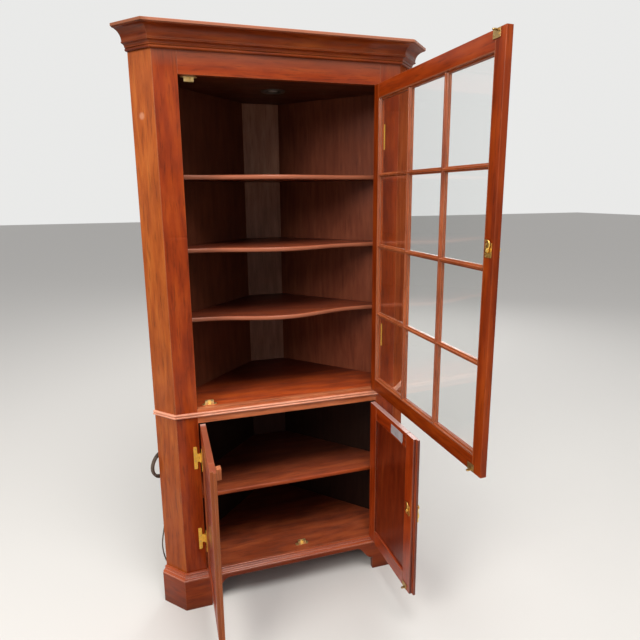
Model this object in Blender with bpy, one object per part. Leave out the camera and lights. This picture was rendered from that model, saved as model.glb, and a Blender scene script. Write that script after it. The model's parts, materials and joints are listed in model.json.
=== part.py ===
"""Corner cabinet: a five-sided case for a room's corner, with one tall glazed door over a pair of panelled doors.

Metres, +Z up. The front faces -Y. The origin is on the floor, in the middle of the rear panel's foot, and
every shape below is drawn in the case's own frame, whose Y is 0 on the front face and grows to the rear.
"""

import math

import bmesh
import bpy
from mathutils import Matrix, Vector

# Case
case_height = 2.100
face_half_width = 0.427       # centre line to the front arris
return_depth = 0.0735         # how far back the canted return ends
stile_width = 0.077
frame_thickness = 0.020
back_thickness = 0.009
board_thickness = 0.018
rear_half_width = 0.078       # narrow panel that cuts the corner off, inside
case_top_drop = 0.004         # the case's boards end this far under the cornice's top
foot_lift = 0.003             # hidden boards end this far over the floor
back_drop = 0.100             # the backs end this far under the cornice's top
seat_gap = 0.0003

# Rails and openings, from the floor up
base_height = 0.148           # floor to the lower opening's foot
lower_opening_height = 0.609
waist_rail_height = 0.055
top_rail_height = 0.144

# Shelves: each one's underside as a share of its opening's height
upper_shelf_shares = {"upper_shelf_top": 0.7142, "upper_shelf_middle": 0.4851, "upper_shelf_low": 0.2579}
lower_shelf_share = 0.445
shelf_bow_front = 0.055       # front of the bow, behind the face
shelf_end_front = 0.118
shelf_bow_half = 0.300
lower_shelf_front = 0.050
shelf_groove = 0.003
groove_clearance = 0.0004
nosing = 0.006

# Mouldings and plinth
cornice_height = 0.071
cornice_out = 0.060
waist_drop = 0.012            # from the rail's top to the waist moulding's
waist_height = 0.017
waist_out = 0.009
base_moulding_height = 0.0235
plinth_out = 0.021
apron_width = 0.016           # left of the plinth over its cut
foot_width = 0.091            # from the front arris to the bracket foot's inner edge
foot_step = 0.056
bracket_run = 0.076

# Doors
door_gap = 0.002
door_thickness = 0.020
glazed_opening = 93.0
right_opening = 93.0
left_opening = 88.7
edge_round = 0.0025
glazed_stile = 0.045
glazed_rail = 0.056
rebate_width = 0.008
rebate_lip = 0.007
glass_thickness = 0.003
glass_bed = 0.0004
glass_play = 0.0006
bar_width = 0.016
bar_flat = 0.006
bar_edge = 0.0015
columns = 3
rows = 4
lower_stile = 0.052
lower_rail = 0.056
panel_thickness = 0.008
panel_groove = 0.008
panel_play = 0.0006
panel_inset = 0.006           # the groove's place, from the door's back
field_margin = 0.030
field_rise = 0.004
meeting_lip = 0.0105
meeting_play = 0.0015
lip_thickness = 0.0095
lip_play = 0.001
lip_edge = -0.004             # the right door's front edge, from the centre line

# Hinges
knuckle_radius = 0.0042
pin_radius = 0.0016
pin_clearance = 0.0003
leaf_thickness = 0.002
hinge_height = 0.089
leaf_bar_start = 0.011
leaf_bar_width = 0.013
barrel_half = 0.016
knuckle_play = 0.0004
glazed_hinge_rise = 0.218     # opening's foot to the low hinge's middle
glazed_hinge_drop = 0.178     # opening's head to the high hinge's middle
lower_hinge_rise = 0.139
lower_hinge_drop = 0.135

# Latches
spindle_radius = 0.003
spindle_clearance = 0.0006
latch_plate_thickness = 0.0015
latch_plate_width = 0.027
cam_thickness = 0.004
cam_stand_off = 0.002
cam_width = 0.006
grip_gap = 0.0045             # the hanging drop's back to the door
drop_swell = 0.0052           # the drop's largest radius
glazed_latch_share = 0.5437   # of the opening's height
glazed_latch_inset = 0.020
glazed_latch_plate = 0.038    # its height
glazed_cam_reach = 0.029
glazed_post = 0.013           # how far the grip's post stands out
glazed_drop = 0.032
right_latch_share = 0.5386
right_latch_inset = 0.036
right_latch_plate = 0.038
right_cam_reach = 0.033
right_post = 0.025
right_drop = 0.060

# Catches
catch_length = 0.054
catch_body = 0.032
catch_depth = 0.016
catch_height = 0.015
catch_base = 0.002
catch_slot = 0.012
ball_radius = 0.003
ball_show = 0.0012
catch_setback = 0.005         # behind the doors' inner faces
tongue_width = 0.0084
tongue_length = 0.0135
tongue_thickness = 0.0035
tongue_rise = 0.0035
strike_width = 0.028
strike_height = 0.022
strike_thickness = 0.0015
top_catch_inset = 0.035
deck_catch_inset = 0.046
lower_catch_place = 0.040     # from the centre line

# Stop block on the left door
block_length = 0.038
block_depth = 0.017
block_width = 0.024
block_inset = 0.026           # from the meeting stile's rear edge
block_drop = 0.004

# Light in the top board, with its lead
can_place = 0.200
can_radius = 0.035
can_height = 0.066
can_flange = 0.046
flange_thickness = 0.003
can_recess = 0.010
can_hole_clearance = 0.0005
gland_radius = 0.005
gland_length = 0.009
gland_rise = 0.030            # over the top board
cord_radius = 0.0025
coil_radius = 0.053
coil_loops = 4
coil_pitch = 0.0060
coil_layer = 0.0060
coil_level = 0.566            # its middle, from the floor
coil_stand_off = 0.009        # from the wall's outer side to the coil's first layer
lead_crossing = 0.050         # from the coil's middle, rearwards along the wall
coil_forward = 0.006          # the coil's middle, from the wall's front end
plug_level = 0.072            # the plug's top
plug_length = 0.034
plug_width = 0.022
plug_depth = 0.013
blade_length = 0.017
blade_width = 0.0063
blade_thickness = 0.0015
blade_spacing = 0.0127

# Shared geometry, worked out once
opening_half_width = face_half_width - stile_width
foot_inner = face_half_width - foot_width
lower_opening_foot = base_height
lower_opening_head = lower_opening_foot + lower_opening_height
upper_opening_foot = lower_opening_head + waist_rail_height
upper_opening_head = case_height - top_rail_height
cornice_foot = case_height - cornice_height
waist_head = upper_opening_foot - waist_drop
waist_foot = waist_head - waist_height
base_head = lower_opening_foot - 0.0005
plinth_height = base_head - base_moulding_height
apron_height = plinth_height - apron_width
back_top = case_height - back_drop
mitre = math.tan(math.radians(22.5))
diagonal = math.sqrt(0.5)
case_top = case_height - case_top_drop
inner_sum = face_half_width + 2 * return_depth - back_thickness / diagonal
rear_inner_depth = inner_sum - rear_half_width
case_depth = rear_inner_depth + back_thickness / 2
return_inner = face_half_width - frame_thickness / diagonal
hinge_x = opening_half_width - door_gap / 2
hinge_y = -knuckle_radius - seat_gap
top_board_head = upper_opening_head + board_thickness
gland_level = top_board_head + gland_rise
glazed_latch_level = upper_opening_foot + glazed_latch_share * (upper_opening_head - upper_opening_foot)
right_latch_level = lower_opening_foot + right_latch_share * lower_opening_height

WOODS = {
    "cherry": ((0.30, 0.085, 0.030), 0.34, 0.0),
    "cherry_inner": ((0.24, 0.072, 0.028), 0.42, 0.0),
    "cherry_light": ((0.42, 0.17, 0.08), 0.5, 0.0),
    "veneer": ((0.17, 0.085, 0.050), 0.5, 0.0),
    "brass": ((0.66, 0.47, 0.17), 0.28, 1.0),
    "glass": ((0.80, 0.84, 0.82), 0.04, 0.0),
    "bronze": ((0.05, 0.035, 0.025), 0.45, 0.8),
    "cord": ((0.06, 0.035, 0.022), 0.5, 0.0),
}


def clear_scene():
    for thing in list(bpy.data.objects):
        bpy.data.objects.remove(thing, do_unlink=True)


def material(name):
    found = bpy.data.materials.get(name)
    if found:
        return found
    colour, roughness, metallic = WOODS[name]
    made = bpy.data.materials.new(name)
    made.use_nodes = True
    shader = made.node_tree.nodes["Principled BSDF"]
    shader.inputs["Base Color"].default_value = (*colour, 1.0)
    shader.inputs["Roughness"].default_value = roughness
    shader.inputs["Metallic"].default_value = metallic
    if name == "glass":
        shader.inputs["Transmission Weight"].default_value = 1.0
    made.diffuse_color = (*colour, 1.0)
    return made


def empty(name, place, parent=None, turn=0.0):
    made = bpy.data.objects.new(name, None)
    made.location = place
    made.rotation_euler = (0, 0, math.radians(turn))
    made.parent = parent
    bpy.context.scene.collection.objects.link(made)
    return made


class Holder:
    """An empty on a joint's axis, with the place in the case's frame that its pieces are drawn from."""

    def __init__(self, name, origin, parent=None, turn=0.0):
        self.origin = Vector(origin)
        start = parent.origin if parent else Vector((0, 0, 0))
        place = self.origin - start
        if parent is None:
            place = Vector((0, -case_depth, 0))
        self.empty = empty(name, place, parent.empty if parent else None, turn)


def finish(name, bm, look, holder, smooth=None):
    bmesh.ops.recalc_face_normals(bm, faces=bm.faces)
    mesh = bpy.data.meshes.new(name)
    bm.to_mesh(mesh)
    bm.free()
    mesh.transform(Matrix.Translation(-holder.origin))
    mesh.materials.append(material(look))
    if smooth:
        mesh.shade_smooth()
        mesh.set_sharp_from_angle(angle=math.radians(smooth))
    made = bpy.data.objects.new(name, mesh)
    made.parent = holder.empty
    bpy.context.scene.collection.objects.link(made)
    return made


def drawn(plane, u, v, w):
    if plane == "XY":
        return Vector((u, v, w))
    if plane == "XZ":
        return Vector((u, w, v))
    return Vector((w, u, v))


def add_prism(bm, outline, low, high, plane="XY"):
    """A straight prism: the outline lies in the plane, and low and high are its ends across it."""
    rings = [[bm.verts.new(drawn(plane, u, v, w)) for u, v in outline] for w in (low, high)]
    count = len(outline)
    for i in range(count):
        j = (i + 1) % count
        bm.faces.new((rings[0][i], rings[0][j], rings[1][j], rings[1][i]))
    ends = [bm.faces.new(rings[0]), bm.faces.new(rings[1])]
    return rings, ends


def prism(name, outline, low, high, look, holder, plane="XY", round_by=0.0, smooth=None):
    bm = bmesh.new()
    add_prism(bm, outline, low, high, plane)
    if round_by:
        bmesh.ops.bevel(bm, geom=bm.edges[:], offset=round_by, segments=1, affect="EDGES")
    return finish(name, bm, look, holder, smooth)


def block(name, low, high, look, holder, round_by=0.0):
    outline = ((low[0], low[1]), (high[0], low[1]), (high[0], high[1]), (low[0], high[1]))
    return prism(name, outline, low[2], high[2], look, holder, round_by=round_by)


def add_turned(bm, profile, centre, axis="Z", steps=20):
    """A solid of revolution: the profile's points are (radius, distance along the axis)."""
    rings = []
    for radius, along in profile:
        ring = []
        for k in range(steps if radius > 0 else 1):
            angle = 2 * math.pi * k / steps
            a, b = radius * math.cos(angle), radius * math.sin(angle)
            offset = {"Z": (a, b, along), "Y": (a, along, b), "X": (along, a, b)}[axis]
            ring.append(bm.verts.new(Vector(centre) + Vector(offset)))
        rings.append(ring)
    for lower, upper in zip(rings, rings[1:]):
        for k in range(steps):
            m = (k + 1) % steps
            corners = [lower[k % len(lower)], lower[m % len(lower)], upper[m % len(upper)], upper[k % len(upper)]]
            unique = list(dict.fromkeys(corners))
            if len(unique) > 2:
                bm.faces.new(unique)
    for ring in (rings[0], rings[-1]):
        if len(ring) > 2:
            bm.faces.new(ring)


def turned(name, profile, centre, look, holder, axis="Z", steps=20):
    bm = bmesh.new()
    add_turned(bm, profile, centre, axis, steps)
    return finish(name, bm, look, holder, smooth=35)


def combine(target, other, operation):
    """A Boolean with a helper solid, which stays in the file as a wire guide."""
    other.hide_render = True
    other.display_type = "WIRE"
    step = target.modifiers.new(operation.lower(), "BOOLEAN")
    step.operation = operation
    step.solver = "EXACT"
    step.object = other


def drawn_in(points, amounts):
    """The outline with each side moved inwards; side i runs from point i to the next."""
    count = len(points)
    area = sum(points[i][0] * points[(i + 1) % count][1] - points[(i + 1) % count][0] * points[i][1]
               for i in range(count))
    turn = 1 if area > 0 else -1
    sides = []
    for i in range(count):
        start = Vector(points[i])
        along = (Vector(points[(i + 1) % count]) - start).normalized()
        inward = Vector((-along.y, along.x)) * turn
        sides.append((start + inward * amounts[i], along))
    corners = []
    for i in range(count):
        (p, d), (q, e) = sides[i - 1], sides[i]
        cross = d.x * e.y - d.y * e.x
        t = ((q.x - p.x) * e.y - (q.y - p.y) * e.x) / cross
        corners.append((p.x + d.x * t, p.y + d.y * t))
    return corners


def mirrored(points, side):
    return [(side * x, y) for x, y in points]


# Outlines in plan

def stile_outline():
    inner = face_half_width - frame_thickness * mitre
    return [(opening_half_width, 0), (face_half_width, 0), (inner, frame_thickness), (opening_half_width, frame_thickness)]


def return_outline():
    a, c = face_half_width, return_depth
    back = frame_thickness * diagonal
    return [(a, 0), (a + c, c), (a + c - back, c + back), (a - frame_thickness * mitre, frame_thickness)]


def back_board_outline():
    a, c = face_half_width, return_depth
    back = frame_thickness * diagonal
    inwards = back_thickness * diagonal
    front = (a + c - back, c + back)
    rear_outer = (rear_half_width + back_thickness * mitre, rear_inner_depth + back_thickness)
    rear_inner = (rear_half_width, rear_inner_depth)
    return [front, rear_outer, rear_inner, (front[0] - inwards, front[1] - inwards)]


def rear_panel_outline():
    outer = rear_half_width + back_thickness * mitre
    inner_y, outer_y = rear_inner_depth, rear_inner_depth + back_thickness
    return [(-rear_half_width, inner_y), (rear_half_width, inner_y), (outer, outer_y), (-outer, outer_y)]


def room_outline():
    """The clear space inside the case in plan, counter-clockwise from the front left."""
    front = face_half_width - frame_thickness * mitre
    side_x = (inner_sum + return_inner) / 2
    side_y = (inner_sum - return_inner) / 2
    right = [(front, frame_thickness), (side_x, side_y), (rear_half_width, rear_inner_depth)]
    left = [(-x, y) for x, y in reversed(right)]
    return right + left


def deck_outline():
    """The room's outline with a tongue that fills the opening, out to the front face."""
    gap = seat_gap
    room = drawn_in(room_outline(), [gap] * 6)
    edge = opening_half_width - gap
    tongue = [(-edge, room[-1][1]), (-edge, 0), (edge, 0), (edge, room[0][1])]
    return tongue + room


def shelf_front(x):
    """The front's distance behind the face: a bow in the middle that turns back into straight ends."""
    if abs(x) >= shelf_bow_half:
        return shelf_end_front
    bow = 0.5 + 0.5 * math.cos(math.pi * x / shelf_bow_half)
    return shelf_end_front - (shelf_end_front - shelf_bow_front) * bow


def shelf_outline(fronts, extra=0.0):
    """A shelf let into the grooves of the back boards and the rear panel."""
    reach = inner_sum + (shelf_groove + extra) / diagonal
    depth = rear_inner_depth + shelf_groove + extra
    ends = reach - fronts[-1][1]
    rear = [(reach - depth, depth), (depth - reach, depth)]
    return [(-ends, fronts[0][1])] + fronts + [(ends, fronts[-1][1])] + rear


def bowed_front(steps=26):
    return [(x, shelf_front(x)) for x in
            (shelf_bow_half * (2 * k / steps - 1) for k in range(steps + 1))]


# Mouldings that run round the front: left return, face, right return

def moulding(name, profile, look, holder):
    """Sweeps a profile of (distance out, height) round the two arrises with mitred corners."""
    a, c = face_half_width, return_depth
    stations = [
        ((-a - c, c), (-diagonal, -diagonal)),
        ((-a, 0), (-mitre, -1)),
        ((a, 0), (mitre, -1)),
        ((a + c, c), (diagonal, -diagonal)),
    ]
    bm = bmesh.new()
    rings = []
    for (x, y), (dx, dy) in stations:
        rings.append([bm.verts.new((x + dx * out, y + dy * out, level)) for out, level in profile])
    count = len(profile)
    for first, second in zip(rings, rings[1:]):
        for i in range(count):
            j = (i + 1) % count
            bm.faces.new((first[i], first[j], second[j], second[i]))
    bm.faces.new(rings[0])
    bm.faces.new(rings[-1])
    return finish(name, bm, look, holder)


def arc(centre, radius, start, end, steps):
    """Points (out, height) on an arc, with its angles in degrees."""
    points = []
    for k in range(steps + 1):
        angle = math.radians(start + (end - start) * k / steps)
        points.append((centre[0] + radius[0] * math.cos(angle), centre[1] + radius[1] * math.sin(angle)))
    return points


def cornice_profile():
    """From the foot up: bead, ogee band, bead, tall cove and square top."""
    foot, out, top = cornice_foot, cornice_out, case_height
    wall = seat_gap
    lower_bead = arc((0.006, foot + 0.004), (0.004, 0.004), -90, 90, 4)
    ogee = arc((0.017, foot + 0.011), (0.007, 0.008), 180, 90, 3)
    bead = arc((0.019, foot + 0.024), (0.003, 0.003), -90, 90, 4)
    cove = arc((out - 0.004, foot + 0.028), (out - 0.023, top - 0.011 - foot - 0.028), 180, 90, 7)
    return [(wall, foot)] + lower_bead + ogee + bead + cove + [(out, top - 0.0095), (out, top), (wall, top)]


def waist_profile():
    """Two half-round beads with a quirk between them."""
    middle = (waist_foot + waist_head) / 2
    half = (waist_head - waist_foot) / 4
    quirk = 0.0008
    low = arc((waist_out - half, waist_foot + half), (half, half - quirk / 2), -90, 90, 5)
    high = arc((waist_out - half - 0.001, middle + half), (half, half - quirk / 2), -90, 90, 5)
    return [(seat_gap, waist_foot)] + low + high + [(seat_gap, waist_head)]


def base_profile():
    """From the plinth up: square fillet, ogee and top bead."""
    foot = plinth_height + seat_gap
    out = plinth_out
    rise = base_head - foot
    ogee = arc((out - 0.009, foot + 0.005), (0.007, 0.006), 0, 90, 3)
    hollow = arc((out - 0.009, foot + rise - 0.006), (0.004, 0.006), -90, -180, 3)
    bead = arc((out - 0.015, foot + rise - 0.003), (0.0035, 0.003), -60, 90, 4)
    return [(seat_gap, foot), (out, foot), (out, foot + 0.004)] + ogee + hollow + bead + [(seat_gap, base_head)]


def apron_cut():
    """The cut under the apron: a straight head with an ogee down to a square step at each foot."""
    right = []
    for k in range(9):
        t = k / 8
        swell = t - math.sin(2 * math.pi * t) / (2 * math.pi)
        x = foot_inner - bracket_run * t
        right.append((x, foot_step + (apron_height - foot_step) * swell))
    left = [(-x, level) for x, level in reversed(right)]
    return [(foot_inner, -0.01)] + right + left + [(-foot_inner, -0.01)]


# Sub-assemblies

def build_face_frame(case):
    for side, word in ((1, "right"), (-1, "left")):
        gap = seat_gap / 2
        stile = prism(f"{word}_stile", mirrored(drawn_in(stile_outline(), [0, gap, 0, 0]), side),
                      foot_lift, case_top, "cherry", case)
        prism(f"{word}_return", mirrored(drawn_in(return_outline(), [0, 0, 0, gap]), side),
              foot_lift, case_top, "cherry", case)
        if side < 0:
            cut_latch_nick(stile, case)
    edge = opening_half_width - seat_gap
    block("top_rail", (-edge, 0, upper_opening_head), (edge, frame_thickness, case_top), "cherry", case)
    block("waist_rail", (-edge, 0, lower_opening_head), (edge, frame_thickness, upper_opening_foot), "cherry", case)


def cut_latch_nick(stile, case):
    """The small worn nick in the left stile's front edge, level with the glazed door's latch."""
    radius = 0.004
    centre = (-opening_half_width, -0.001, glazed_latch_level + 0.002)
    profile = [(radius, 0.0), (radius * 0.8, 0.007)]
    nick = turned("latch_nick_cutter", profile, centre, "cherry", case, axis="Y", steps=12)
    combine(stile, nick, "DIFFERENCE")


def build_backs(case):
    boards = []
    gap = seat_gap
    for side, word in ((1, "right"), (-1, "left")):
        outline = drawn_in(back_board_outline(), [0, gap / 2, 0, gap])
        boards.append(prism(f"{word}_back_board", mirrored(outline, side), foot_lift, back_top, "cherry_inner", case))
    outline = drawn_in(rear_panel_outline(), [0, gap / 2, 0, gap / 2])
    boards.append(prism("rear_panel", outline, 0, back_top, "veneer", case))
    return boards


def build_decks(case):
    gap = seat_gap
    room = drawn_in(room_outline(), [gap] * 6)
    thick = board_thickness
    prism("lower_deck", deck_outline(), lower_opening_foot - thick, lower_opening_foot, "cherry_inner", case)
    prism("upper_deck", room, upper_opening_foot - thick, upper_opening_foot, "cherry", case)
    top = prism("top_board", room, upper_opening_head, top_board_head, "cherry_inner", case)
    hole = can_radius + can_hole_clearance
    cutter = turned("can_hole_cutter", [(hole, -0.01), (hole, thick + 0.01)], (0, can_place, upper_opening_head),
                    "bronze", case, steps=32)
    combine(top, cutter, "DIFFERENCE")


def nosed_shelf(name, fronts, low, look, case):
    """A board whose front edge is rounded over, top and bottom."""
    bm = bmesh.new()
    outline = shelf_outline(fronts)
    add_prism(bm, outline, low, low + board_thickness)
    last = max(y for _, y in fronts) + nosing / 10
    edges = []
    for edge in bm.edges:
        start, end = edge.verts[0].co, edge.verts[1].co
        if abs(start.z - end.z) < 1e-6 and start.y < last and end.y < last:
            edges.append(edge)
    bmesh.ops.bevel(bm, geom=edges, offset=nosing, segments=2, affect="EDGES", profile=0.5)
    return finish(name, bm, look, case, smooth=50)


def build_shelves(case, boards):
    edge = shelf_bow_half
    straight = [(-edge, lower_shelf_front), (edge, lower_shelf_front)]
    rise = upper_opening_head - upper_opening_foot
    plans = [(name, upper_opening_foot + share * rise, bowed_front()) for name, share in upper_shelf_shares.items()]
    plans.append(("lower_shelf", lower_opening_foot + lower_shelf_share * lower_opening_height, straight))
    extra = groove_clearance
    for name, level, fronts in plans:
        if name == "lower_shelf":
            fit_lower_shelf(name, level, case)
            fronts = [(-edge, shelf_end_front), (edge, shelf_end_front)]
        else:
            nosed_shelf(name, fronts, level, "cherry", case)
        groove = prism(f"{name}_groove_cutter", shelf_outline(fronts, extra), level - extra,
                       level + board_thickness + extra, "cherry_inner", case)
        for board in boards:
            combine(board, groove, "DIFFERENCE")


def fit_lower_shelf(name, level, case):
    """The straight shelf reaches forward between the returns, clear of the doors."""
    room = drawn_in(room_outline(), [seat_gap] * 6)
    side_x, side_y = room[1]
    corner_x = side_x - (side_y - lower_shelf_front)
    rear = shelf_outline([(-0.1, shelf_end_front), (0.1, shelf_end_front)])
    ends = rear[3]
    step_x = inner_sum - shelf_end_front - seat_gap / diagonal
    right = [(corner_x, lower_shelf_front), (side_x, side_y), (step_x, shelf_end_front), ends]
    left = [(-x, y) for x, y in reversed(right)]
    outline = right + [rear[4], rear[5]] + left
    bm = bmesh.new()
    add_prism(bm, outline, level, level + board_thickness)
    edges = [edge for edge in bm.edges
             if all(abs(v.co.y - lower_shelf_front) < 1e-6 for v in edge.verts)
             and abs(edge.verts[0].co.z - edge.verts[1].co.z) < 1e-6]
    bmesh.ops.bevel(bm, geom=edges, offset=nosing, segments=2, affect="EDGES", profile=0.5)
    return finish(name, bm, "cherry", case, smooth=50)


def build_mouldings(case):
    moulding("cornice", cornice_profile(), "cherry", case)
    moulding("waist_moulding", waist_profile(), "cherry", case)
    moulding("base_moulding", base_profile(), "cherry", case)
    wall, out = seat_gap, plinth_out
    plinth = moulding("plinth", [(wall, 0), (out, 0), (out, plinth_height), (wall, plinth_height)], "cherry", case)
    cutter = prism("apron_cutter", apron_cut(), -plinth_out - 0.01, 0.01, "cherry", case, plane="XZ")
    combine(plinth, cutter, "DIFFERENCE")


# Hinges

def leaf_outline(side, reach, inner_third):
    """A hinge leaf seen from the front: tall bar, short tongue and fingers to its own knuckles."""
    half, barrel = hinge_height / 2, barrel_half
    third = barrel / 3
    start, end = leaf_bar_start, leaf_bar_start + leaf_bar_width
    clear = knuckle_radius + 0.001
    play = knuckle_play / 2
    nick = 0.003
    outline = [(end, -half), (end, half), (start + nick, half), (start, half - nick), (start, barrel)]
    if inner_third:
        outline += [(clear, barrel), (clear, third - play), (0, third - play), (0, -third + play),
                    (clear, -third + play), (clear, -barrel)]
    else:
        outline += [(0, barrel), (0, third + play), (clear, third + play), (clear, -third - play),
                    (0, -third - play), (0, -barrel)]
    outline += [(start, -barrel), (start, -half + nick), (start + nick, -half)]
    return [(side * reach * x, level) for x, level in outline]


def add_knuckle(leaf, name, level, low, high, holder, pivot):
    piece = turned(f"{name}_knuckle_{'low' if low < 0 else 'high'}_{'fixed' if low * high > 0 else 'moving'}",
                   [(knuckle_radius, low), (knuckle_radius, high)], (pivot[0], pivot[1], level), "brass", holder, steps=16)
    combine(leaf, piece, "UNION")


def build_hinge(name, level, pivot, side, case, door):
    """An H hinge: one leaf on the stile with two knuckles and the pin, one on the door with the middle knuckle."""
    third = barrel_half / 3
    play = knuckle_play / 2
    low, high = -seat_gap - leaf_thickness, -seat_gap
    for holder, word, reach, middle in ((case, "frame_leaf", 1, False), (door, "door_leaf", -1, True)):
        outline = [(pivot[0] + x, level + z) for x, z in leaf_outline(side, reach, middle)]
        leaf = prism(f"{name}_{word}", outline, low, high, "brass", holder, plane="XZ", smooth=40)
        if middle:
            add_knuckle(leaf, name, level, -third + play, third - play, holder, pivot)
            bore = pin_radius + pin_clearance
            cutter = turned(f"{name}_bore_cutter", [(bore, -barrel_half), (bore, barrel_half)],
                            (pivot[0], pivot[1], level), "brass", holder, steps=16)
            combine(leaf, cutter, "DIFFERENCE")
        else:
            add_knuckle(leaf, name, level, third + play, barrel_half, holder, pivot)
            add_knuckle(leaf, name, level, -barrel_half, -third - play, holder, pivot)
            tip = barrel_half + 0.0015
            profile = [(pin_radius, -tip), (pin_radius, tip)]
            pin = turned(f"{name}_pin", profile, (pivot[0], pivot[1], level), "brass", holder, steps=12)
            combine(leaf, pin, "UNION")


# Doors

def bevelled(bm, amount):
    bmesh.ops.bevel(bm, geom=bm.edges[:], offset=amount, segments=2, affect="EDGES", profile=0.6)


def rebated_section(width, outer_edge, towards):
    """A glazed-door member's section of (across, back): full at the outer edge, rebated behind the lip."""
    inner_face = outer_edge + towards * (width - rebate_width)
    sight = outer_edge + towards * width
    r = edge_round
    t = door_thickness
    return [(outer_edge + towards * r, 0), (sight - towards * r / 2, 0), (sight, r / 2), (sight, rebate_lip),
            (inner_face, rebate_lip), (inner_face, t), (outer_edge + towards * r, t), (outer_edge, t - r),
            (outer_edge, r)]


def build_glazed_door(door):
    gap = door_gap
    low, high = upper_opening_foot + gap, upper_opening_head - gap
    free, hung = -opening_half_width + gap, opening_half_width - gap
    pieces = {}
    for word, edge, towards in (("hinge", hung, -1), ("latch", free, 1)):
        section = rebated_section(glazed_stile, edge, towards)
        pieces[word] = prism(f"glazed_{word}_stile", section, low, high, "cherry", door)
    left, right = free + glazed_stile, hung - glazed_stile
    for word, edge, towards in (("top", high, -1), ("foot", low, 1)):
        section = [(y, z) for z, y in rebated_section(glazed_rail, edge, towards)]
        rail_rebate(word, section, left, right, door)
    sight_low, sight_high = low + glazed_rail, high - glazed_rail
    glass_edge = rebate_width - glass_play
    front = rebate_lip + glass_bed
    block("door_glass", (left - glass_edge, front, sight_low - glass_edge),
          (right + glass_edge, front + glass_thickness, sight_high + glass_edge), "glass", door)
    build_grille(door, left, right, sight_low, sight_high, front + glass_thickness + glass_bed)
    latch_x = free + glazed_latch_inset
    sizes = {"plate": glazed_latch_plate, "reach": glazed_cam_reach, "post": glazed_post, "drop": glazed_drop}
    build_latch("glazed_door", latch_x, glazed_latch_level, door, [pieces["latch"]], sizes)
    build_strike("glazed_top_strike", free + top_catch_inset - gap, upper_opening_head, -1, door)
    build_strike("glazed_foot_strike", free + deck_catch_inset - gap, upper_opening_foot, 1, door)


def rail_rebate(word, section, left, right, door):
    """A rail between the stiles, coped at each end so that its lip meets the stiles' lips."""
    gap = seat_gap
    bm = bmesh.new()
    add_prism(bm, section, left + gap, right - gap, plane="YZ")
    rail = finish(f"glazed_{word}_rail", bm, "cherry", door)
    level = sum(z for _, z in section) / len(section)
    reach = rebate_width - gap
    for side, edge in ((-1, left), (1, right)):
        x = sorted((edge - side * 0.002, edge + side * reach))
        y = (rebate_lip + gap, door_thickness)
        heights = [z for _, z in section]
        body = (min(heights) + edge_round, max(heights) - edge_round)
        inner = body[1] - rebate_width if word == "foot" else body[1]
        outer = body[0] + rebate_width if word == "top" else body[0]
        tenon = block(f"glazed_{word}_rail_end_{side}", (x[0], y[0], outer), (x[1], y[1], inner), "cherry", door)
        combine(rail, tenon, "UNION")
    return level


def cove(start, end, steps=3):
    """A hollow quarter between two points of a section, which leaves the first one level."""
    points = []
    for k in range(1, steps):
        angle = math.pi / 2 * k / steps
        points.append((start[0] + (end[0] - start[0]) * (1 - math.cos(angle)),
                       start[1] + (end[1] - start[1]) * math.sin(angle)))
    return points


def bar_section(low, high):
    """A glazing bar's section of (across, back): flat crown with a hollow down each side to a thin edge."""
    half, flat = bar_width / 2, bar_flat / 2
    shoulder = high - 0.0015
    edge = low + bar_edge
    right = [(flat, high), (flat, shoulder)]
    right += cove((flat, shoulder), (half, edge)) + [(half, edge), (half, low)]
    left = [(-x, y) for x, y in reversed(right)]
    return right + left


def build_grille(door, left, right, low, high, front):
    """The removable grille that keeps the glass in: a moulded border with bars, all in one piece."""
    back = door_thickness - 0.0004
    play = glass_play
    flat = rebate_width - (bar_width - bar_flat) / 2
    half_section = [(0, front), (0, back), (flat, back), (flat, back - 0.0015)]
    half_section += cove((flat, back - 0.0015), (rebate_width, front + bar_edge))
    half_section += [(rebate_width, front + bar_edge), (rebate_width, front)]
    outer = rebate_width - play
    corners = [(left - outer, low - outer, 1, 1), (right + outer, low - outer, -1, 1),
               (right + outer, high + outer, -1, -1), (left - outer, high + outer, 1, -1)]
    bm = bmesh.new()
    rings = []
    for x, z, dx, dz in corners:
        rings.append([bm.verts.new((x + dx * s, y, z + dz * s)) for s, y in half_section])
    count = len(half_section)
    for k in range(4):
        first, second = rings[k], rings[(k + 1) % 4]
        for i in range(count):
            j = (i + 1) % count
            bm.faces.new((first[i], first[j], second[j], second[i]))
    grille = finish("glazing_grille", bm, "cherry", door, smooth=25)
    end = outer - flat / 2
    for k in range(1, columns):
        x = left + (right - left) * k / columns
        section = [(x + u, v) for u, v in bar_section(front + 0.0001, back - 0.0002)]
        bar = prism(f"upright_bar_{k}", section, low - end, high + end, "cherry", door, smooth=25)
        combine(grille, bar, "UNION")
    for k in range(1, rows):
        z = low + (high - low) * k / rows
        section = [(v, z + u) for u, v in bar_section(front + 0.0002, back - 0.0003)]
        bar = prism(f"level_bar_{k}", section, left - end, right + end, "cherry", door, plane="YZ", smooth=25)
        combine(grille, bar, "UNION")


def door_frame(name, look, door, sections, low, high):
    """A panelled door's frame in one glued piece: an outline in plan swept up, with a window cut for the panel."""
    frame = prism(name, sections["outline"], low, high, look, door)
    inner_left, inner_right = sections["window"]
    window = block(f"{name}_window_cutter", (inner_left, -0.01, low + lower_rail),
                   (inner_right, door_thickness + 0.01, high - lower_rail), look, door)
    combine(frame, window, "DIFFERENCE")
    groove_back = door_thickness - panel_inset
    play = panel_play
    groove = block(f"{name}_groove_cutter",
                   (inner_left - panel_groove, groove_back - panel_thickness - play, low + lower_rail - panel_groove),
                   (inner_right + panel_groove, groove_back, high - lower_rail + panel_groove), look, door)
    combine(frame, groove, "DIFFERENCE")
    return frame


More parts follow.
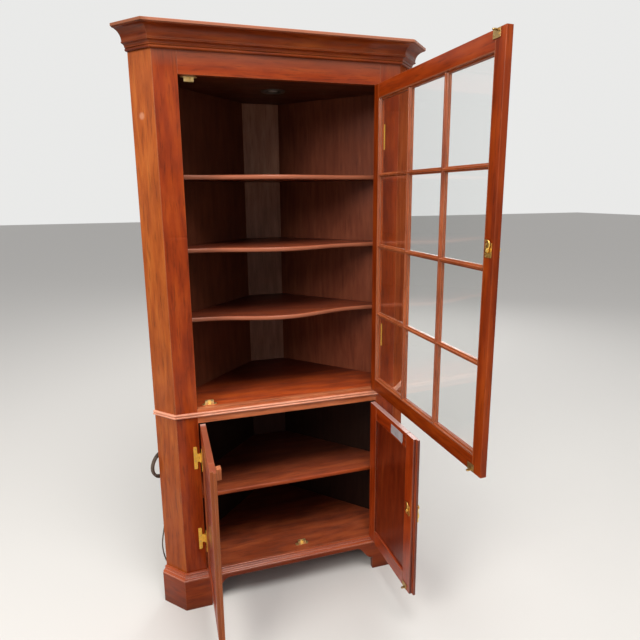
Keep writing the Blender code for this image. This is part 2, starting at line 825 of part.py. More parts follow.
def raised_panel(name, window, low, high, door):
    """A fielded panel: flat inside, raised in the middle of its outer face, with a thin edge in the groove."""
    reach = panel_groove - panel_play
    back = door_thickness - panel_inset - panel_play / 2
    front = back - panel_thickness + panel_play / 2
    margin = field_margin
    bm = bmesh.new()
    steps = ((-reach, back), (-reach, front), (0.004, front), (margin, front - field_rise + 0.001),
             (margin, front - field_rise))
    rings = []
    for inset, y in steps:
        x = (window[0] + inset, window[1] - inset)
        z = (low + lower_rail + inset, high - lower_rail - inset)
        rings.append([bm.verts.new((x[i], y, z[j])) for i, j in ((0, 0), (1, 0), (1, 1), (0, 1))])
    for first, second in zip(rings, rings[1:]):
        for i in range(4):
            j = (i + 1) % 4
            bm.faces.new((first[i], first[j], second[j], second[i]))
    bm.faces.new(rings[0])
    bm.faces.new(rings[-1])
    return finish(name, bm, "cherry", door)


def build_right_door(door):
    gap, t, r = door_gap, door_thickness, edge_round
    low, high = lower_opening_foot + gap, lower_opening_head - gap
    hung = opening_half_width - gap
    free = lip_edge
    back_edge = lip_edge + meeting_lip
    outline = [(free + r, 0), (hung - r, 0), (hung, r), (hung, t - r), (hung - r, t), (back_edge + r, t),
               (back_edge, t - r), (back_edge, lip_thickness), (free, lip_thickness), (free, r)]
    window = (back_edge + lower_stile, hung - lower_stile)
    frame = door_frame("right_door_frame", "cherry", door, {"outline": outline, "window": window}, low, high)
    raised_panel("right_door_panel", window, low, high, door)
    sizes = {"plate": right_latch_plate, "reach": right_cam_reach, "post": right_post, "drop": right_drop}
    build_latch("right_door", free + right_latch_inset, right_latch_level, door, [frame], sizes)
    build_strike("right_door_strike", lower_catch_place, lower_opening_foot, 1, door)


def build_left_door(door):
    gap, t, r = door_gap, door_thickness, edge_round
    low, high = lower_opening_foot + gap, lower_opening_head - gap
    hung = -opening_half_width + gap
    front_edge = lip_edge - meeting_play
    back_edge = lip_edge + meeting_lip - meeting_play
    shelf = lip_thickness + lip_play
    outline = [(hung, r), (hung + r, 0), (front_edge - r, 0), (front_edge, r), (front_edge, shelf),
               (back_edge, shelf), (back_edge, t - r), (back_edge - r, t), (hung + r, t), (hung, t - r)]
    window = (hung + lower_stile, front_edge - lower_stile)
    door_frame("left_door_frame", "cherry", door, {"outline": outline, "window": window}, low, high)
    raised_panel("left_door_panel", window, low, high, door)
    top = high - block_drop
    reach = back_edge - block_inset
    block("left_door_stop_block", (reach - block_width, t + seat_gap, top - block_length),
          (reach, t + seat_gap + block_depth, top), "cherry_light", door, round_by=0.0015)


# Latches: a turned grip outside, a spindle through the stile and a hooked cam inside

def escutcheon_outline(x, level):
    """A shaped back plate: tall oval with four lobes and pointed ends."""
    points = []
    for k in range(36):
        angle = 2 * math.pi * k / 36
        swell = 1 + 0.14 * math.cos(4 * angle) - 0.06 * math.cos(8 * angle)
        points.append((x + 0.0135 * swell * math.cos(angle), level + 0.028 * swell * math.sin(angle)))
    return points


def build_latch(word, x, level, door, bored, sizes):
    t = door_thickness
    hole = spindle_radius + spindle_clearance
    gap = seat_gap
    plate_back = t + gap + latch_plate_thickness
    escutcheon = prism(f"{word}_escutcheon", escutcheon_outline(x, level), -gap - 0.002, -gap, "brass", door,
                       plane="XZ", smooth=40)
    half_width, half_height = latch_plate_width / 2, sizes["plate"] / 2
    plate = block(f"{word}_latch_plate", (x - half_width, t + gap, level - half_height),
                  (x + half_width, plate_back, level + half_height), "brass", door)
    cutter = turned(f"{word}_spindle_cutter", [(hole, -0.01), (hole, t + 0.01)], (x, 0, level), "brass", door,
                    axis="Y", steps=20)
    for piece in [escutcheon, plate] + bored:
        combine(piece, cutter, "DIFFERENCE")
    turn = Holder(f"{word}_turn_axis", (x, t / 2, level), parent=door)
    build_turn(word, x, level, turn, plate_back, sizes)


def build_turn(word, x, level, turn, plate_back, sizes):
    """The one turning piece: post with its drop, collar, spindle, hub and hooked cam."""
    cam_low = plate_back + cam_stand_off
    cam_high = cam_low + cam_thickness
    r = spindle_radius
    collar = -0.0023 - seat_gap * 2
    profile = [(r * 0.6, cam_high + 0.002), (r, cam_high + 0.001), (0.0062, cam_high + 0.001), (0.0062, cam_low),
               (r, cam_low), (r, collar), (0.0058, collar), (0.0052, collar - 0.002), (0.0036, collar - 0.004)]
    tip = -sizes["post"]
    profile += [(0.0034, tip + 0.005), (0.0062, tip + 0.0035), (0.0068, tip + 0.002), (0.0035, tip)]
    spindle = turned(f"{word}_turn", profile, (x, 0, level), "brass", turn, axis="Y", steps=18)
    hook = hook_outline(x, level, sizes["reach"])
    arm = prism(f"{word}_cam_arm", hook, cam_low, cam_high, "brass", turn, plane="XZ", smooth=40)
    combine(spindle, arm, "UNION")
    combine(spindle, hanging_drop(word, x, level, turn, sizes["drop"]), "UNION")


def hook_outline(x, level, reach):
    """The cam's arm: a tapering band that rises from the hub, bows towards the edge and curls over at its tip."""
    bow = 0.34 * reach
    sway, rise = 1.35 * math.pi, 0.62 * math.pi
    steps = 12
    left, right = [], []
    for k in range(steps + 1):
        t = k / steps
        centre = Vector((-bow * math.sin(sway * t), reach * math.sin(rise * t)))
        slope = Vector((-bow * sway * math.cos(sway * t), reach * rise * math.cos(rise * t))).normalized()
        half = cam_width / 2 * (1.15 - 0.45 * t)
        side = Vector((-slope.y, slope.x)) * half
        left.append((x + centre.x + side.x, level + centre.y + side.y))
        right.append((x + centre.x - side.x, level + centre.y - side.y))
    return left + right[::-1]


def hanging_drop(word, x, level, turn, length):
    """The drop that hangs from the post: a slender neck that swells into a bulb with a small ball under it."""
    profile = []
    for k in range(13):
        t = k / 12
        radius = 0.0021 + (drop_swell - 0.0021) * math.sin(math.pi * max(t - 0.30, 0) / 0.56) ** 2
        if t > 0.86:
            radius = 0.0021 + 0.0012 * math.sin(math.pi * (t - 0.86) / 0.14)
        profile.append((radius, -length * t))
    profile = [(0, 0.0042), (0.0030, 0.0030), (0.0044, 0.0)] + profile[1:] + [(0, profile[-1][1] - 0.0012)]
    place = (x, -grip_gap - drop_swell, level)
    return turned(f"{word}_drop", profile, place, "brass", turn, steps=14)


# Catches and strikes

def build_catch(name, x, level, up, case):
    """A double-ball catch: a base with screw ears and a slotted body with a sprung ball in each cheek."""
    half_base, half_body, half_slot = catch_length / 2, catch_body / 2, catch_slot / 2
    floor = catch_base + 0.0005
    top = catch_height
    outline = [(-half_base, 0), (half_base, 0), (half_base, catch_base), (half_body, catch_base), (half_body, top),
               (half_slot, top), (half_slot, floor), (-half_slot, floor), (-half_slot, top), (-half_body, top),
               (-half_body, catch_base), (-half_base, catch_base)]
    front = door_thickness + catch_setback
    base = level + up * seat_gap
    shape = [(x + u, base + up * v) for u, v in outline]
    catch = prism(name, shape, front, front + catch_depth, "brass", case, plane="XZ")
    height = tongue_rise + tongue_thickness / 2
    for side in (-1, 1):
        centre = (x + side * (half_slot + ball_radius - ball_show), front + catch_depth / 2, level + up * height)
        profile = [(ball_radius * math.sin(math.pi * k / 6), -ball_radius * math.cos(math.pi * k / 6))
                   for k in range(7)]
        profile[0] = (0, profile[0][1])
        profile[-1] = (0, profile[-1][1])
        ball = turned(f"{name}_ball_{side}", profile, centre, "brass", case, steps=12)
        combine(catch, ball, "UNION")
    return catch


def build_strike(name, x, level, up, door):
    """The catch's strike: a plate on the door's inner face with a tongue that enters the slot."""
    back = door_thickness + seat_gap
    face = back + strike_thickness
    start = tongue_rise - 0.0005
    low, high = sorted((level + up * start, level + up * (start + strike_height)))
    half = strike_width / 2
    plate = block(name, (x - half, back, low), (x + half, face, high), "brass", door)
    half = tongue_width / 2
    nose = 0.002
    tip = door_thickness + tongue_length
    outline = [(x - half, face - 0.001), (x + half, face - 0.001), (x + half, tip - nose), (x + half - nose, tip),
               (x - half + nose, tip), (x - half, tip - nose)]
    low, high = sorted((level + up * tongue_rise, level + up * (tongue_rise + tongue_thickness)))
    tongue = prism(f"{name}_tongue", outline, low, high, "brass", door)
    combine(plate, tongue, "UNION")


# Light and lead

def build_light(case):
    """A canister light: flange under the ceiling, recessed lamp, and a side gland for its lead."""
    level = upper_opening_head - seat_gap
    low = level - flange_thickness
    top = low + can_height
    inner = can_radius - 0.005
    profile = [(0, low + can_recess - 0.004), (inner * 0.7, low + can_recess - 0.002), (inner, low + can_recess),
               (inner, low + 0.001), (inner + 0.002, low), (can_flange - 0.001, low), (can_flange, low + 0.001),
               (can_flange, level), (can_radius, level), (can_radius, top - 0.002), (can_radius - 0.002, top),
               (0, top)]
    can = turned("light_can", profile, (0, can_place, 0), "bronze", case, steps=32)
    reach = can_radius - 0.003
    gland_profile = [(gland_radius, -reach), (gland_radius, -can_radius - gland_length + 0.001),
                     (gland_radius - 0.001, -can_radius - gland_length)]
    gland = turned("lead_gland", gland_profile, (0, can_place, gland_level), "bronze", case, axis="X", steps=14)
    combine(can, gland, "UNION")


def smooth_route(points, longest, turn=12.0):
    """Points on a Catmull-Rom curve through the route's own points, closer together where it bends."""
    ends = [points[0] * 2 - points[1]] + points + [points[-1] * 2 - points[-2]]
    fine = []
    for a, b, c, d in zip(ends, ends[1:], ends[2:], ends[3:]):
        for k in range(24):
            t = k / 24
            fine.append(0.5 * ((2 * b) + (c - a) * t + (2 * a - 5 * b + 4 * c - d) * t * t
                               + (3 * b - a - 3 * c + d) * t * t * t))
    fine.append(points[-1])
    chosen, angle, run, length = [fine[0]], 0.0, 0.0, 0.0
    for before, here, after in zip(fine, fine[1:], fine[2:]):
        step = (here - before).length
        length += step
        run += step
        angle += math.degrees((here - before).angle(after - here))
        if run > longest or angle > turn:
            chosen.append(here)
            angle, run = 0.0, 0.0
    if (chosen[-1] - fine[-1]).length < 2 * cord_radius:
        chosen.pop()
    return chosen + [fine[-1]], length + (fine[-1] - fine[-2]).length


def tube(name, points, resolution, case):
    curve = bpy.data.curves.new(name, "CURVE")
    curve.dimensions = "3D"
    curve.bevel_depth = cord_radius
    curve.bevel_resolution = resolution
    curve.use_fill_caps = True
    line = curve.splines.new("POLY")
    line.points.add(len(points) - 1)
    for point, place in zip(line.points, points):
        point.co = (*place, 1.0)
    curve.materials.append(material("cord"))
    made = bpy.data.objects.new(name, curve)
    made.parent = case.empty
    bpy.context.scene.collection.objects.link(made)
    return made


def coil_frame():
    """The coil's middle and its own directions: along the wall, up, and out from the wall."""
    a, c = face_half_width, return_depth
    back = frame_thickness * diagonal
    along = Vector((diagonal, diagonal, 0))
    out = Vector((-diagonal, diagonal, 0))
    corner = Vector((-(a + c - back), c + back, coil_level))
    return corner + along * coil_forward + out * coil_stand_off, along, Vector((0, 0, 1)), out


def coil_points():
    """Loops that spiral in on the first layer, climb in the half turn where they reverse, and spiral out."""
    centre, along, up, out = coil_frame()
    steps = 24 * coil_loops
    points = []
    for k in range(steps + 1):
        turns = k / 24
        half = coil_loops / 2
        inwards = half - abs(turns - half)
        radius = coil_radius - coil_pitch * inwards
        climb = min(max((turns - half + 0.25) / 0.5, 0), 1)
        layer = coil_layer * climb * climb * (3 - 2 * climb)
        angle = -2 * math.pi * turns
        points.append(centre + (along * math.cos(angle) + up * math.sin(angle)) * radius + out * layer)
    straight = Vector((0, 0, 2 * cord_radius))
    return [points[0] + straight] + points + [points[-1] - straight]


def beside_wall(along_by, out_by, level):
    """A point of the lead, off the line where it crosses the left back board's top."""
    centre, along, up, out = coil_frame()
    place = centre + along * (lead_crossing + along_by) + out * (out_by - coil_stand_off)
    return Vector((place.x, place.y, level))


def least_self_gap(points):
    """The least clear distance between two stretches of the coil that aren't neighbours along it."""
    fine = []
    for a, b in zip(points, points[1:]):
        fine += [a.lerp(b, k / 3) for k in range(3)]
    skip = 18
    least = min((fine[i] - fine[j]).length for i in range(len(fine)) for j in range(i + skip, len(fine)))
    return least - 2 * cord_radius


def build_lead(case):
    start = Vector((-can_radius - gland_length - seat_gap, can_place, gland_level))
    coil = coil_points()
    top, foot = coil[0], coil[-1]
    joint = Vector((0, 0, seat_gap))
    rest = top_board_head + cord_radius + 0.001
    edge = -back_thickness / 2
    approach = beside_wall(0, edge - 0.075, rest)
    board = [start, start + Vector((-0.020, 0, 0))]
    for share, rise in ((0.24, 0.006), (0.52, 0.0), (0.80, 0.0)):
        board.append(Vector((*start.lerp(approach, share).xy, rest + rise)))
    over = [(edge - 0.075, -0.0185), (edge - 0.045, -0.0125), (edge - 0.020, -0.0015), (edge, 0.0048),
            (edge + 0.016, -0.0015), (edge + 0.024, -0.0175), (edge + 0.0245, -0.045)]
    wall = [beside_wall(0, out, back_top + rise) for out, rise in over]
    for along, out, share in ((-0.003, 0.014, 0.14), (0.004, 0.010, 0.36), (0.002, 0.008, 0.60), (-0.005, 0.008, 0.82)):
        wall.append(beside_wall(along, out, back_top + (top.z - back_top) * share))
    route = board + wall + [top + Vector((0, 0, 0.060)), top + Vector((0, 0, 0.020)), top + joint]
    points, drop = smooth_route(route, 0.045)
    tube("cord_drop", points, 2, case)
    tube("cord_coil", coil, 1, case)
    looped = sum((b - a).length for a, b in zip(coil, coil[1:]))
    centre, along, up, out = coil_frame()
    fall = plug_level - foot.z
    tail = [foot - joint, foot - up * 0.020, foot - up * 0.070]
    swing = ((-0.030, 0.006, 0.33), (-0.051, 0.012, 0.55), (-0.064, 0.016, 0.71), (-0.055, 0.012, 0.86),
             (-0.034, 0.004, 0.94), (-0.030, 0.003, 0.975), (-0.030, 0.003, 1.0))
    tail += [foot + along * rearward + out * outward + up * fall * share for rearward, outward, share in swing]
    end = tail[-1]
    points, hanging = smooth_route(tail, 0.015)
    tube("cord_tail", points, 2, case)
    build_plug(end, case)
    print(f"least gap of the coil to itself: {least_self_gap(coil) * 1000:.2f} mm")
    print(f"lead: {drop:.3f} m drop, {looped:.3f} m coiled, {hanging:.3f} m tail")


def build_plug(end, case):
    """A moulded two-blade plug that hangs from the lead, blades down."""
    top = end.z - seat_gap
    steps = [(0.30, 0.40, 0), (0.42, 0.62, -0.004), (0.80, 0.94, -0.012), (1.0, 1.0, -0.018), (1.0, 1.0, -plug_length)]
    bm = bmesh.new()
    rings = []
    for wide, deep, drop in steps:
        ring = []
        for k in range(16):
            angle = 2 * math.pi * k / 16
            x, y = math.cos(angle), math.sin(angle)
            square = max(abs(x), abs(y)) ** 0.55
            ring.append(bm.verts.new((end.x + plug_width / 2 * wide * x / square,
                                      end.y + plug_depth / 2 * deep * y / square, top + drop)))
        rings.append(ring)
    for first, second in zip(rings, rings[1:]):
        for i in range(16):
            j = (i + 1) % 16
            bm.faces.new((first[i], first[j], second[j], second[i]))
    bm.faces.new(rings[0])
    bm.faces.new(rings[-1])
    plug = finish("cord_plug", bm, "cord", case, smooth=40)
    for side in (-1, 1):
        x = end.x + side * blade_spacing / 2
        low = top - plug_length - blade_length
        blade = block(f"plug_blade_{side}", (x - blade_thickness / 2, end.y - blade_width / 2, low),
                      (x + blade_thickness / 2, end.y + blade_width / 2, top - plug_length + 0.003), "brass", case)
        combine(plug, blade, "UNION")


def build():
    clear_scene()
    case = Holder("case_frame", (0, 0, 0))
    pivots = {1: (hinge_x, hinge_y), -1: (-hinge_x, hinge_y)}
    glazed = Holder("glazed_door_hinge_axis", (*pivots[1], 0), case, glazed_opening)
    right = Holder("right_door_hinge_axis", (*pivots[1], 0), case, right_opening)
    left = Holder("left_door_hinge_axis", (*pivots[-1], 0), case, -left_opening)
    build_face_frame(case)
    boards = build_backs(case)
    build_decks(case)
    build_shelves(case, boards)
    build_mouldings(case)
    build_glazed_door(glazed)
    build_right_door(right)
    build_left_door(left)
    build_hinge("glazed_low_hinge", upper_opening_foot + glazed_hinge_rise, pivots[1], 1, case, glazed)
    build_hinge("glazed_high_hinge", upper_opening_head - glazed_hinge_drop, pivots[1], 1, case, glazed)
    for side, word, door in ((1, "right", right), (-1, "left", left)):
        build_hinge(f"{word}_low_hinge", lower_opening_foot + lower_hinge_rise, pivots[side], side, case, door)
        build_hinge(f"{word}_high_hinge", lower_opening_head - lower_hinge_drop, pivots[side], side, case, door)
    free = -opening_half_width
    build_catch("top_catch", free + top_catch_inset, upper_opening_head, -1, case)
    build_catch("upper_deck_catch", free + deck_catch_inset, upper_opening_foot, 1, case)
    build_catch("lower_deck_catch", lower_catch_place, lower_opening_foot, 1, case)
    build_light(case)
    build_lead(case)


build()
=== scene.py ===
"""Corner cabinet in cherry, with its glazed upper door and both panelled lower doors standing open.

Metres, Z up. Pieces are drawn in the case's own frame, where y is 0 on the face frame's front and grows to
the rear, with the doors shut. `front` moves them to their place, and each door's hinge turns them open.
"""

import json
import math

import bmesh
import bpy
import numpy as np
from mathutils import Matrix, Vector


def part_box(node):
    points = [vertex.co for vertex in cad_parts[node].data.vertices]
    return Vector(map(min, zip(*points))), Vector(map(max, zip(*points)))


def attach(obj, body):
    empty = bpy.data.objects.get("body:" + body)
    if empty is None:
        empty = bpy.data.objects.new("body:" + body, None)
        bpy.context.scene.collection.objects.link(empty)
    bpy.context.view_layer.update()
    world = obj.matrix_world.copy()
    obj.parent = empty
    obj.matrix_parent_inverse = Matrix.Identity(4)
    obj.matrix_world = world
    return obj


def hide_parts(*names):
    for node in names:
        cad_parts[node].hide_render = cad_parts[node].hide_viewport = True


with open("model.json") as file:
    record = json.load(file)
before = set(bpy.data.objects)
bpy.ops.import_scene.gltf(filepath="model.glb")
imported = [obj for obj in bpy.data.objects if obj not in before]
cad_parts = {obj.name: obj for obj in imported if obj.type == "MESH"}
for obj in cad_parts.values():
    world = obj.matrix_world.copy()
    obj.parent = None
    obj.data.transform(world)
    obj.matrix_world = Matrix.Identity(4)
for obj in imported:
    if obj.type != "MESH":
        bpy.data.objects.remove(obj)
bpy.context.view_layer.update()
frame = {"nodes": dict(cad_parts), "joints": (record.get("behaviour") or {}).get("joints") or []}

# The camera stands a long step in front of the cabinet and a little to its left, at eye height, and looks
# slightly down. It is a phone's wide lens, held almost upright.

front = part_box("left_stile")[0].y
eye = (-0.4054, front - 1.7739, 1.5767)
yaw, tilt, roll = 0.2872, -0.1967, -0.0085
picture, focal_pixels, centre_row, sensor = 640, 504.06, 294.3, 36
ahead = Vector((math.sin(yaw) * math.cos(tilt), math.cos(yaw) * math.cos(tilt), math.sin(tilt)))
sideways = Vector((math.cos(yaw), -math.sin(yaw), 0))
upright = sideways.cross(ahead)
right = sideways * math.cos(roll) + upright * math.sin(roll)
above = upright * math.cos(roll) - sideways * math.sin(roll)
camera = bpy.data.objects.new("camera", bpy.data.cameras.new("camera"))
camera.matrix_world = Matrix.Translation(eye) @ Matrix((right, above, -ahead)).transposed().to_4x4()
camera.data.sensor_width = sensor
camera.data.lens = focal_pixels / picture * sensor
camera.data.shift_y = (centre_row - picture / 2) / picture
camera.data.clip_start = 0.05
bpy.context.scene.collection.objects.link(camera)
bpy.context.scene.camera = camera
bpy.context.scene.view_settings.view_transform = "Standard"

# The studio: a plain pale floor, an even pale sky, a wide soft lamp from the front left, one from above the
# front and a weaker one from the rear, as on an overcast day in front of a building.

floor_reach, floor_tone, floor_seen, sky_seen = 30, (0.38, 0.36, 0.33), (0.70, 0.695, 0.685), (0.82, 0.82, 0.81)


def fill(tree, node, values):
    """Links each named or numbered input of a node where its value is a socket, and otherwise sets it."""
    for name, value in values.items():
        if isinstance(value, bpy.types.NodeSocket):
            tree.links.new(value, node.inputs[name])
        else:
            node.inputs[name].default_value = value
    return node


def add(tree, kind, values=None, out=0, **settings):
    """Adds a shader node with its settings and inputs, and gives one of its outputs."""
    node = tree.nodes.new("ShaderNode" + kind)
    for name, value in settings.items():
        setattr(node, name, value)
    return fill(tree, node, values or {}).outputs[out]


def feed(material, values):
    """Sets or links the named sockets of a material's own shader."""
    fill(material.node_tree, material.node_tree.nodes["Principled BSDF"], values)


def plain_material(name, colour, roughness):
    made = bpy.data.materials.new(name)
    made.use_nodes = True
    feed(made, {"Base Color": (*colour, 1), "Roughness": roughness})
    return made


def blend(tree, kind, amount, first, second):
    """Mixes two colours; the amount and each colour is a socket or a constant. A Mix node keeps its colours in
    inputs 6 and 7 and in output 2."""
    first, second = (c if isinstance(c, bpy.types.NodeSocket) else (*c, 1) for c in (first, second))
    return add(tree, "Mix", {0: amount, 6: first, 7: second}, 2, data_type="RGBA", blend_type=kind)


def math_of(tree, operation, *values):
    return add(tree, "Math", dict(enumerate(values)), operation=operation)


def part_of(tree, vector, axis):
    return add(tree, "SeparateXYZ", {0: vector}, axis)


def seen_directly(tree):
    """1 for rays that show the background: from the camera, in a reflection or through glass."""
    rays = add(tree, "LightPath").node.outputs
    kinds = rays["Is Camera Ray"]
    for other in ("Is Glossy Ray", "Is Transmission Ray"):
        kinds = math_of(tree, "MAXIMUM", kinds, rays[other])
    return kinds


floor_mesh = bpy.data.meshes.new("floor")
corners = [(x * floor_reach, y * floor_reach, 0) for x, y in ((-1, -1), (1, -1), (1, 1), (-1, 1))]
floor_mesh.from_pydata(corners, [], [(0, 1, 2, 3)])
floor = bpy.data.objects.new("floor", floor_mesh)
paving = plain_material("floor", floor_tone, 0.9)
floor_mesh.materials.append(paving)
bpy.context.scene.collection.objects.link(floor)
tree = paving.node_tree
feed(paving, {"Base Color": blend(tree, "MIX", seen_directly(tree), floor_tone, floor_seen), "Specular IOR Level": 0.1})

world = bpy.data.worlds.new("sky")
bpy.context.scene.world = world
world.use_nodes = True
tree = world.node_tree
height = part_of(tree, add(tree, "TexCoord", out="Generated"), 2)
overcast = add(tree, "MapRange", {"Value": height, "From Min": 0.0, "From Max": 0.9, "To Min": 0.36, "To Max": 0.60})
sky = fill(tree, tree.nodes["Background"], {"Color": (1.0, 0.98, 0.96, 1), "Strength": overcast}).outputs[0]
seen = add(tree, "Background", {"Color": (*sky_seen, 1), "Strength": 1.0})
surface = add(tree, "MixShader", {0: seen_directly(tree), 1: sky, 2: seen})
fill(tree, tree.nodes["World Output"], {"Surface": surface})

for name, place, aim, size, watts, colour in (
        ("key", (-2.9, -2.7, 3.5), (-0.2, -0.4, 1.5), 2.2, 120, (1.0, 0.95, 0.88)),
        ("front", (0.2, -2.3, 4.9), (0, -0.4, 0.6), 2.2, 130, (1.0, 0.97, 0.93)),
        ("rear", (2.4, 3.6, 3.2), (0, 0, 1.2), 2.4, 60, (1.0, 0.98, 0.95))):
    lamp = bpy.data.objects.new(name, bpy.data.lights.new(name, "AREA"))
    lamp.data.shape = "DISK"
    lamp.data.size = size
    lamp.data.energy = watts
    lamp.data.color = colour
    lamp.location = place
    lamp.visible_transmission = False
    lamp.rotation_euler = (Vector(aim) - Vector(place)).to_track_quat("-Z", "Y").to_euler()
    bpy.context.scene.collection.objects.link(lamp)

# The lead: brown two-core flex, 5 mm thick, from the light's gland across the top board, over the left back
# board and down its outside. Most of its spare length is wound in four loops and tied; the rest hangs to the plug.

flex_diameter, slant, board, corner_out, corner_back = 0.005, math.sqrt(0.5), 0.020, 0.427 + 0.0735, 0.0735
wall_foot = np.array([-(corner_out - board * slant), corner_back + board * slant, 0])
rearward, outward, skyward = np.array([slant, slant, 0]), np.array([-slant, slant, 0]), np.array([0, 0, 1.0])
coil_radius, coil_step, coil_loops, coil_height, coil_along = 0.053, 0.006, 4, 0.566, 0.006
back_top, board_top, lamp_back, drop_along, plug_height = 2.000, 1.974, 0.200, 0.056, 0.072
resting, over_back, straight = 0.0035, -0.0795, 0.005


def noise(tree, vector, scale, detail, roughness):
    return add(tree, "TexNoise", {"Vector": vector, "Scale": scale, "Detail": detail, "Roughness": roughness})


def ramp(tree, value, *stops):
    """A colour ramp of (place, colour) stops; a single number is a grey."""
    node = add(tree, "ValToRGB", {"Fac": value}).node
    bar = node.color_ramp
    while len(bar.elements) < len(stops):
        bar.elements.new(0.5)
    for element, (place, colour) in zip(bar.elements, stops):
        element.position = place
        element.color = (*(colour if isinstance(colour, tuple) else (colour,) * 3), 1)
    return node.outputs["Color"]


def object_place(tree, **mapping):
    """The place on the piece, through a Mapping node with the Scale, Rotation or Location that is given."""
    return add(tree, "Mapping", {"Vector": add(tree, "TexCoord", out="Object"), **mapping})


def mottle(tree, scale, detail, roughness):
    """Noise at the place on the piece."""
    return noise(tree, object_place(tree), scale, detail, roughness)


def travelled(points):
    """The distance gone along a line of points, at each of them."""
    return np.concatenate([[0], np.cumsum(np.linalg.norm(np.diff(points, axis=0), axis=1))])


def read_along(points, places):
    """The points that lie at the given distances along a line of points."""
    return np.stack([np.interp(places, travelled(points), points[:, k]) for k in range(3)], axis=1)


def smooth(points, spacing=0.006):
    """Catmull-Rom: Q(t) = (2b + (c-a)t + (2a-5b+4c-d)t^2 + (3b-a-3c+d)t^3) / 2, read every `spacing` metres."""
    points = np.array(points)
    p = np.vstack([2 * points[0] - points[1], points, 2 * points[-1] - points[-2]])
    a, b, c, d = p[:-3, None], p[1:-2, None], p[2:-1, None], p[3:, None]
    t = np.linspace(0, 1, 24, endpoint=False)[None, :, None]
    fine = 0.5 * (2 * b + (c - a) * t + (2 * a - 5 * b + 4 * c - d) * t**2 + (3 * b - a - 3 * c + d) * t**3)
    fine = np.vstack([fine.reshape(-1, 3), points[-1:]])
    length = travelled(fine)[-1]
    return read_along(fine, np.linspace(0, length, int(length / spacing) + 2))


def beside_wall(along, out, height):
    """A point by the left back board: foot + along the board + out from its outer side, at a height."""
    return wall_foot + rearward * along + outward * out + skyward * height


turns = np.linspace(0, coil_loops, 64 * coil_loops + 1)
inwards = coil_loops / 2 - np.abs(turns - coil_loops / 2)
climb = np.clip((turns - coil_loops / 2 + 0.25) / 0.5, 0, 1)
layer = 0.009 + coil_step * climb**2 * (3 - 2 * climb)
radius = coil_radius - coil_step * inwards
coil = (beside_wall(coil_along, 0, coil_height) + (radius * np.cos(2 * np.pi * turns))[:, None] * rearward
        - (radius * np.sin(2 * np.pi * turns))[:, None] * skyward + layer[:, None] * outward)
top, foot = coil[0], coil[-1]

gland = np.array([-0.0443, lamp_back, board_top + 0.030])
approach = beside_wall(drop_along, over_back, board_top + resting)
route = [gland, gland - (0.020, 0, 0)]
for share, rise in ((0.24, 0.006), (0.52, 0.0), (0.80, 0.0)):
    spot = gland + (approach - gland) * share
    spot[2] = board_top + resting + rise
    route.append(spot)
for out, rise in ((over_back, -0.0185), (-0.0495, -0.0125), (-0.0245, -0.0015), (-0.0045, 0.0048),
                  (0.0115, -0.0015), (0.0195, -0.0175), (0.020, -0.045)):
    route.append(beside_wall(drop_along, out, back_top + rise))
for along, out, share in ((-0.003, 0.014, 0.14), (0.004, 0.010, 0.36), (0.002, 0.008, 0.60), (-0.005, 0.008, 0.82)):
    route.append(beside_wall(drop_along + along, out, back_top + (top[2] + straight - back_top) * share))
route += [top + skyward * rise for rise in (0.065, 0.025, straight)]
tail = [foot - skyward * drop for drop in (straight, 0.025, 0.075)]
fall = foot[2] - straight - plug_height
for along, out, share in ((-0.030, 0.006, 0.33), (-0.051, 0.012, 0.55), (-0.064, 0.016, 0.71), (-0.055, 0.012, 0.86),
                          (-0.034, 0.004, 0.94), (-0.030, 0.003, 0.975), (-0.030, 0.003, 1.0)):
    tail.append(foot + rearward * along + outward * out - skyward * (straight + fall * share))
line = np.vstack([smooth(route), coil, smooth(tail)]) + (0, front, 0)

flex = plain_material("flex", (0.075, 0.045, 0.030), 0.42)
tree = flex.node_tree
dust = mottle(tree, 40, 4, 0.65)
feed(flex, {"Base Color": ramp(tree, dust, (0.35, (0.055, 0.033, 0.022)), (0.75, (0.17, 0.13, 0.10))),
            "Roughness": ramp(tree, dust, (0.3, 0.36), (0.8, 0.62))})
curve = bpy.data.curves.new("lead", "CURVE")
curve.dimensions = "3D"
curve.bevel_depth = flex_diameter / 2
curve.bevel_resolution = 4
curve.use_fill_caps = True
spline = curve.splines.new("POLY")
spline.points.add(len(line) - 1)
spline.points.foreach_set("co", np.hstack([line, np.ones((len(line), 1))]).astype(np.float32).ravel())
curve.materials.append(flex)
lead = bpy.data.objects.new("lead", curve)
bpy.context.scene.collection.objects.link(lead)
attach(lead, "cabinet")
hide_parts("cord_drop", "cord_coil", "cord_tail")

# The plug: a moulded two-blade plug with a ribbed grip, hanging by the lead. Its blades are flat brass.

plug_top = tail[-1] - (0, 0, 0.0003)
plug_rings = np.array([(0.30, 0.40, 0), (0.36, 0.50, -0.002), (0.33, 0.46, -0.0035), (0.44, 0.60, -0.005),
                       (0.42, 0.58, -0.007), (0.60, 0.78, -0.009), (0.58, 0.76, -0.011), (0.80, 0.94, -0.014),
                       (0.97, 0.99, -0.018), (1, 1, -0.020), (1, 1, -0.0325), (0.96, 0.93, -0.034)])
plug_half_width, plug_half_depth, blade_out, thick, wide = 0.011, 0.0065, 0.00635, 0.00075, 0.00315
blade_tip, blade_root = -0.051, -0.031


def xyz(x, y, z):
    """Points from three coordinates, each an array or one number for all."""
    return np.stack(np.broadcast_arrays(x, y, z), axis=-1)


def angles(steps):
    return np.linspace(0, 2 * np.pi, steps, endpoint=False)


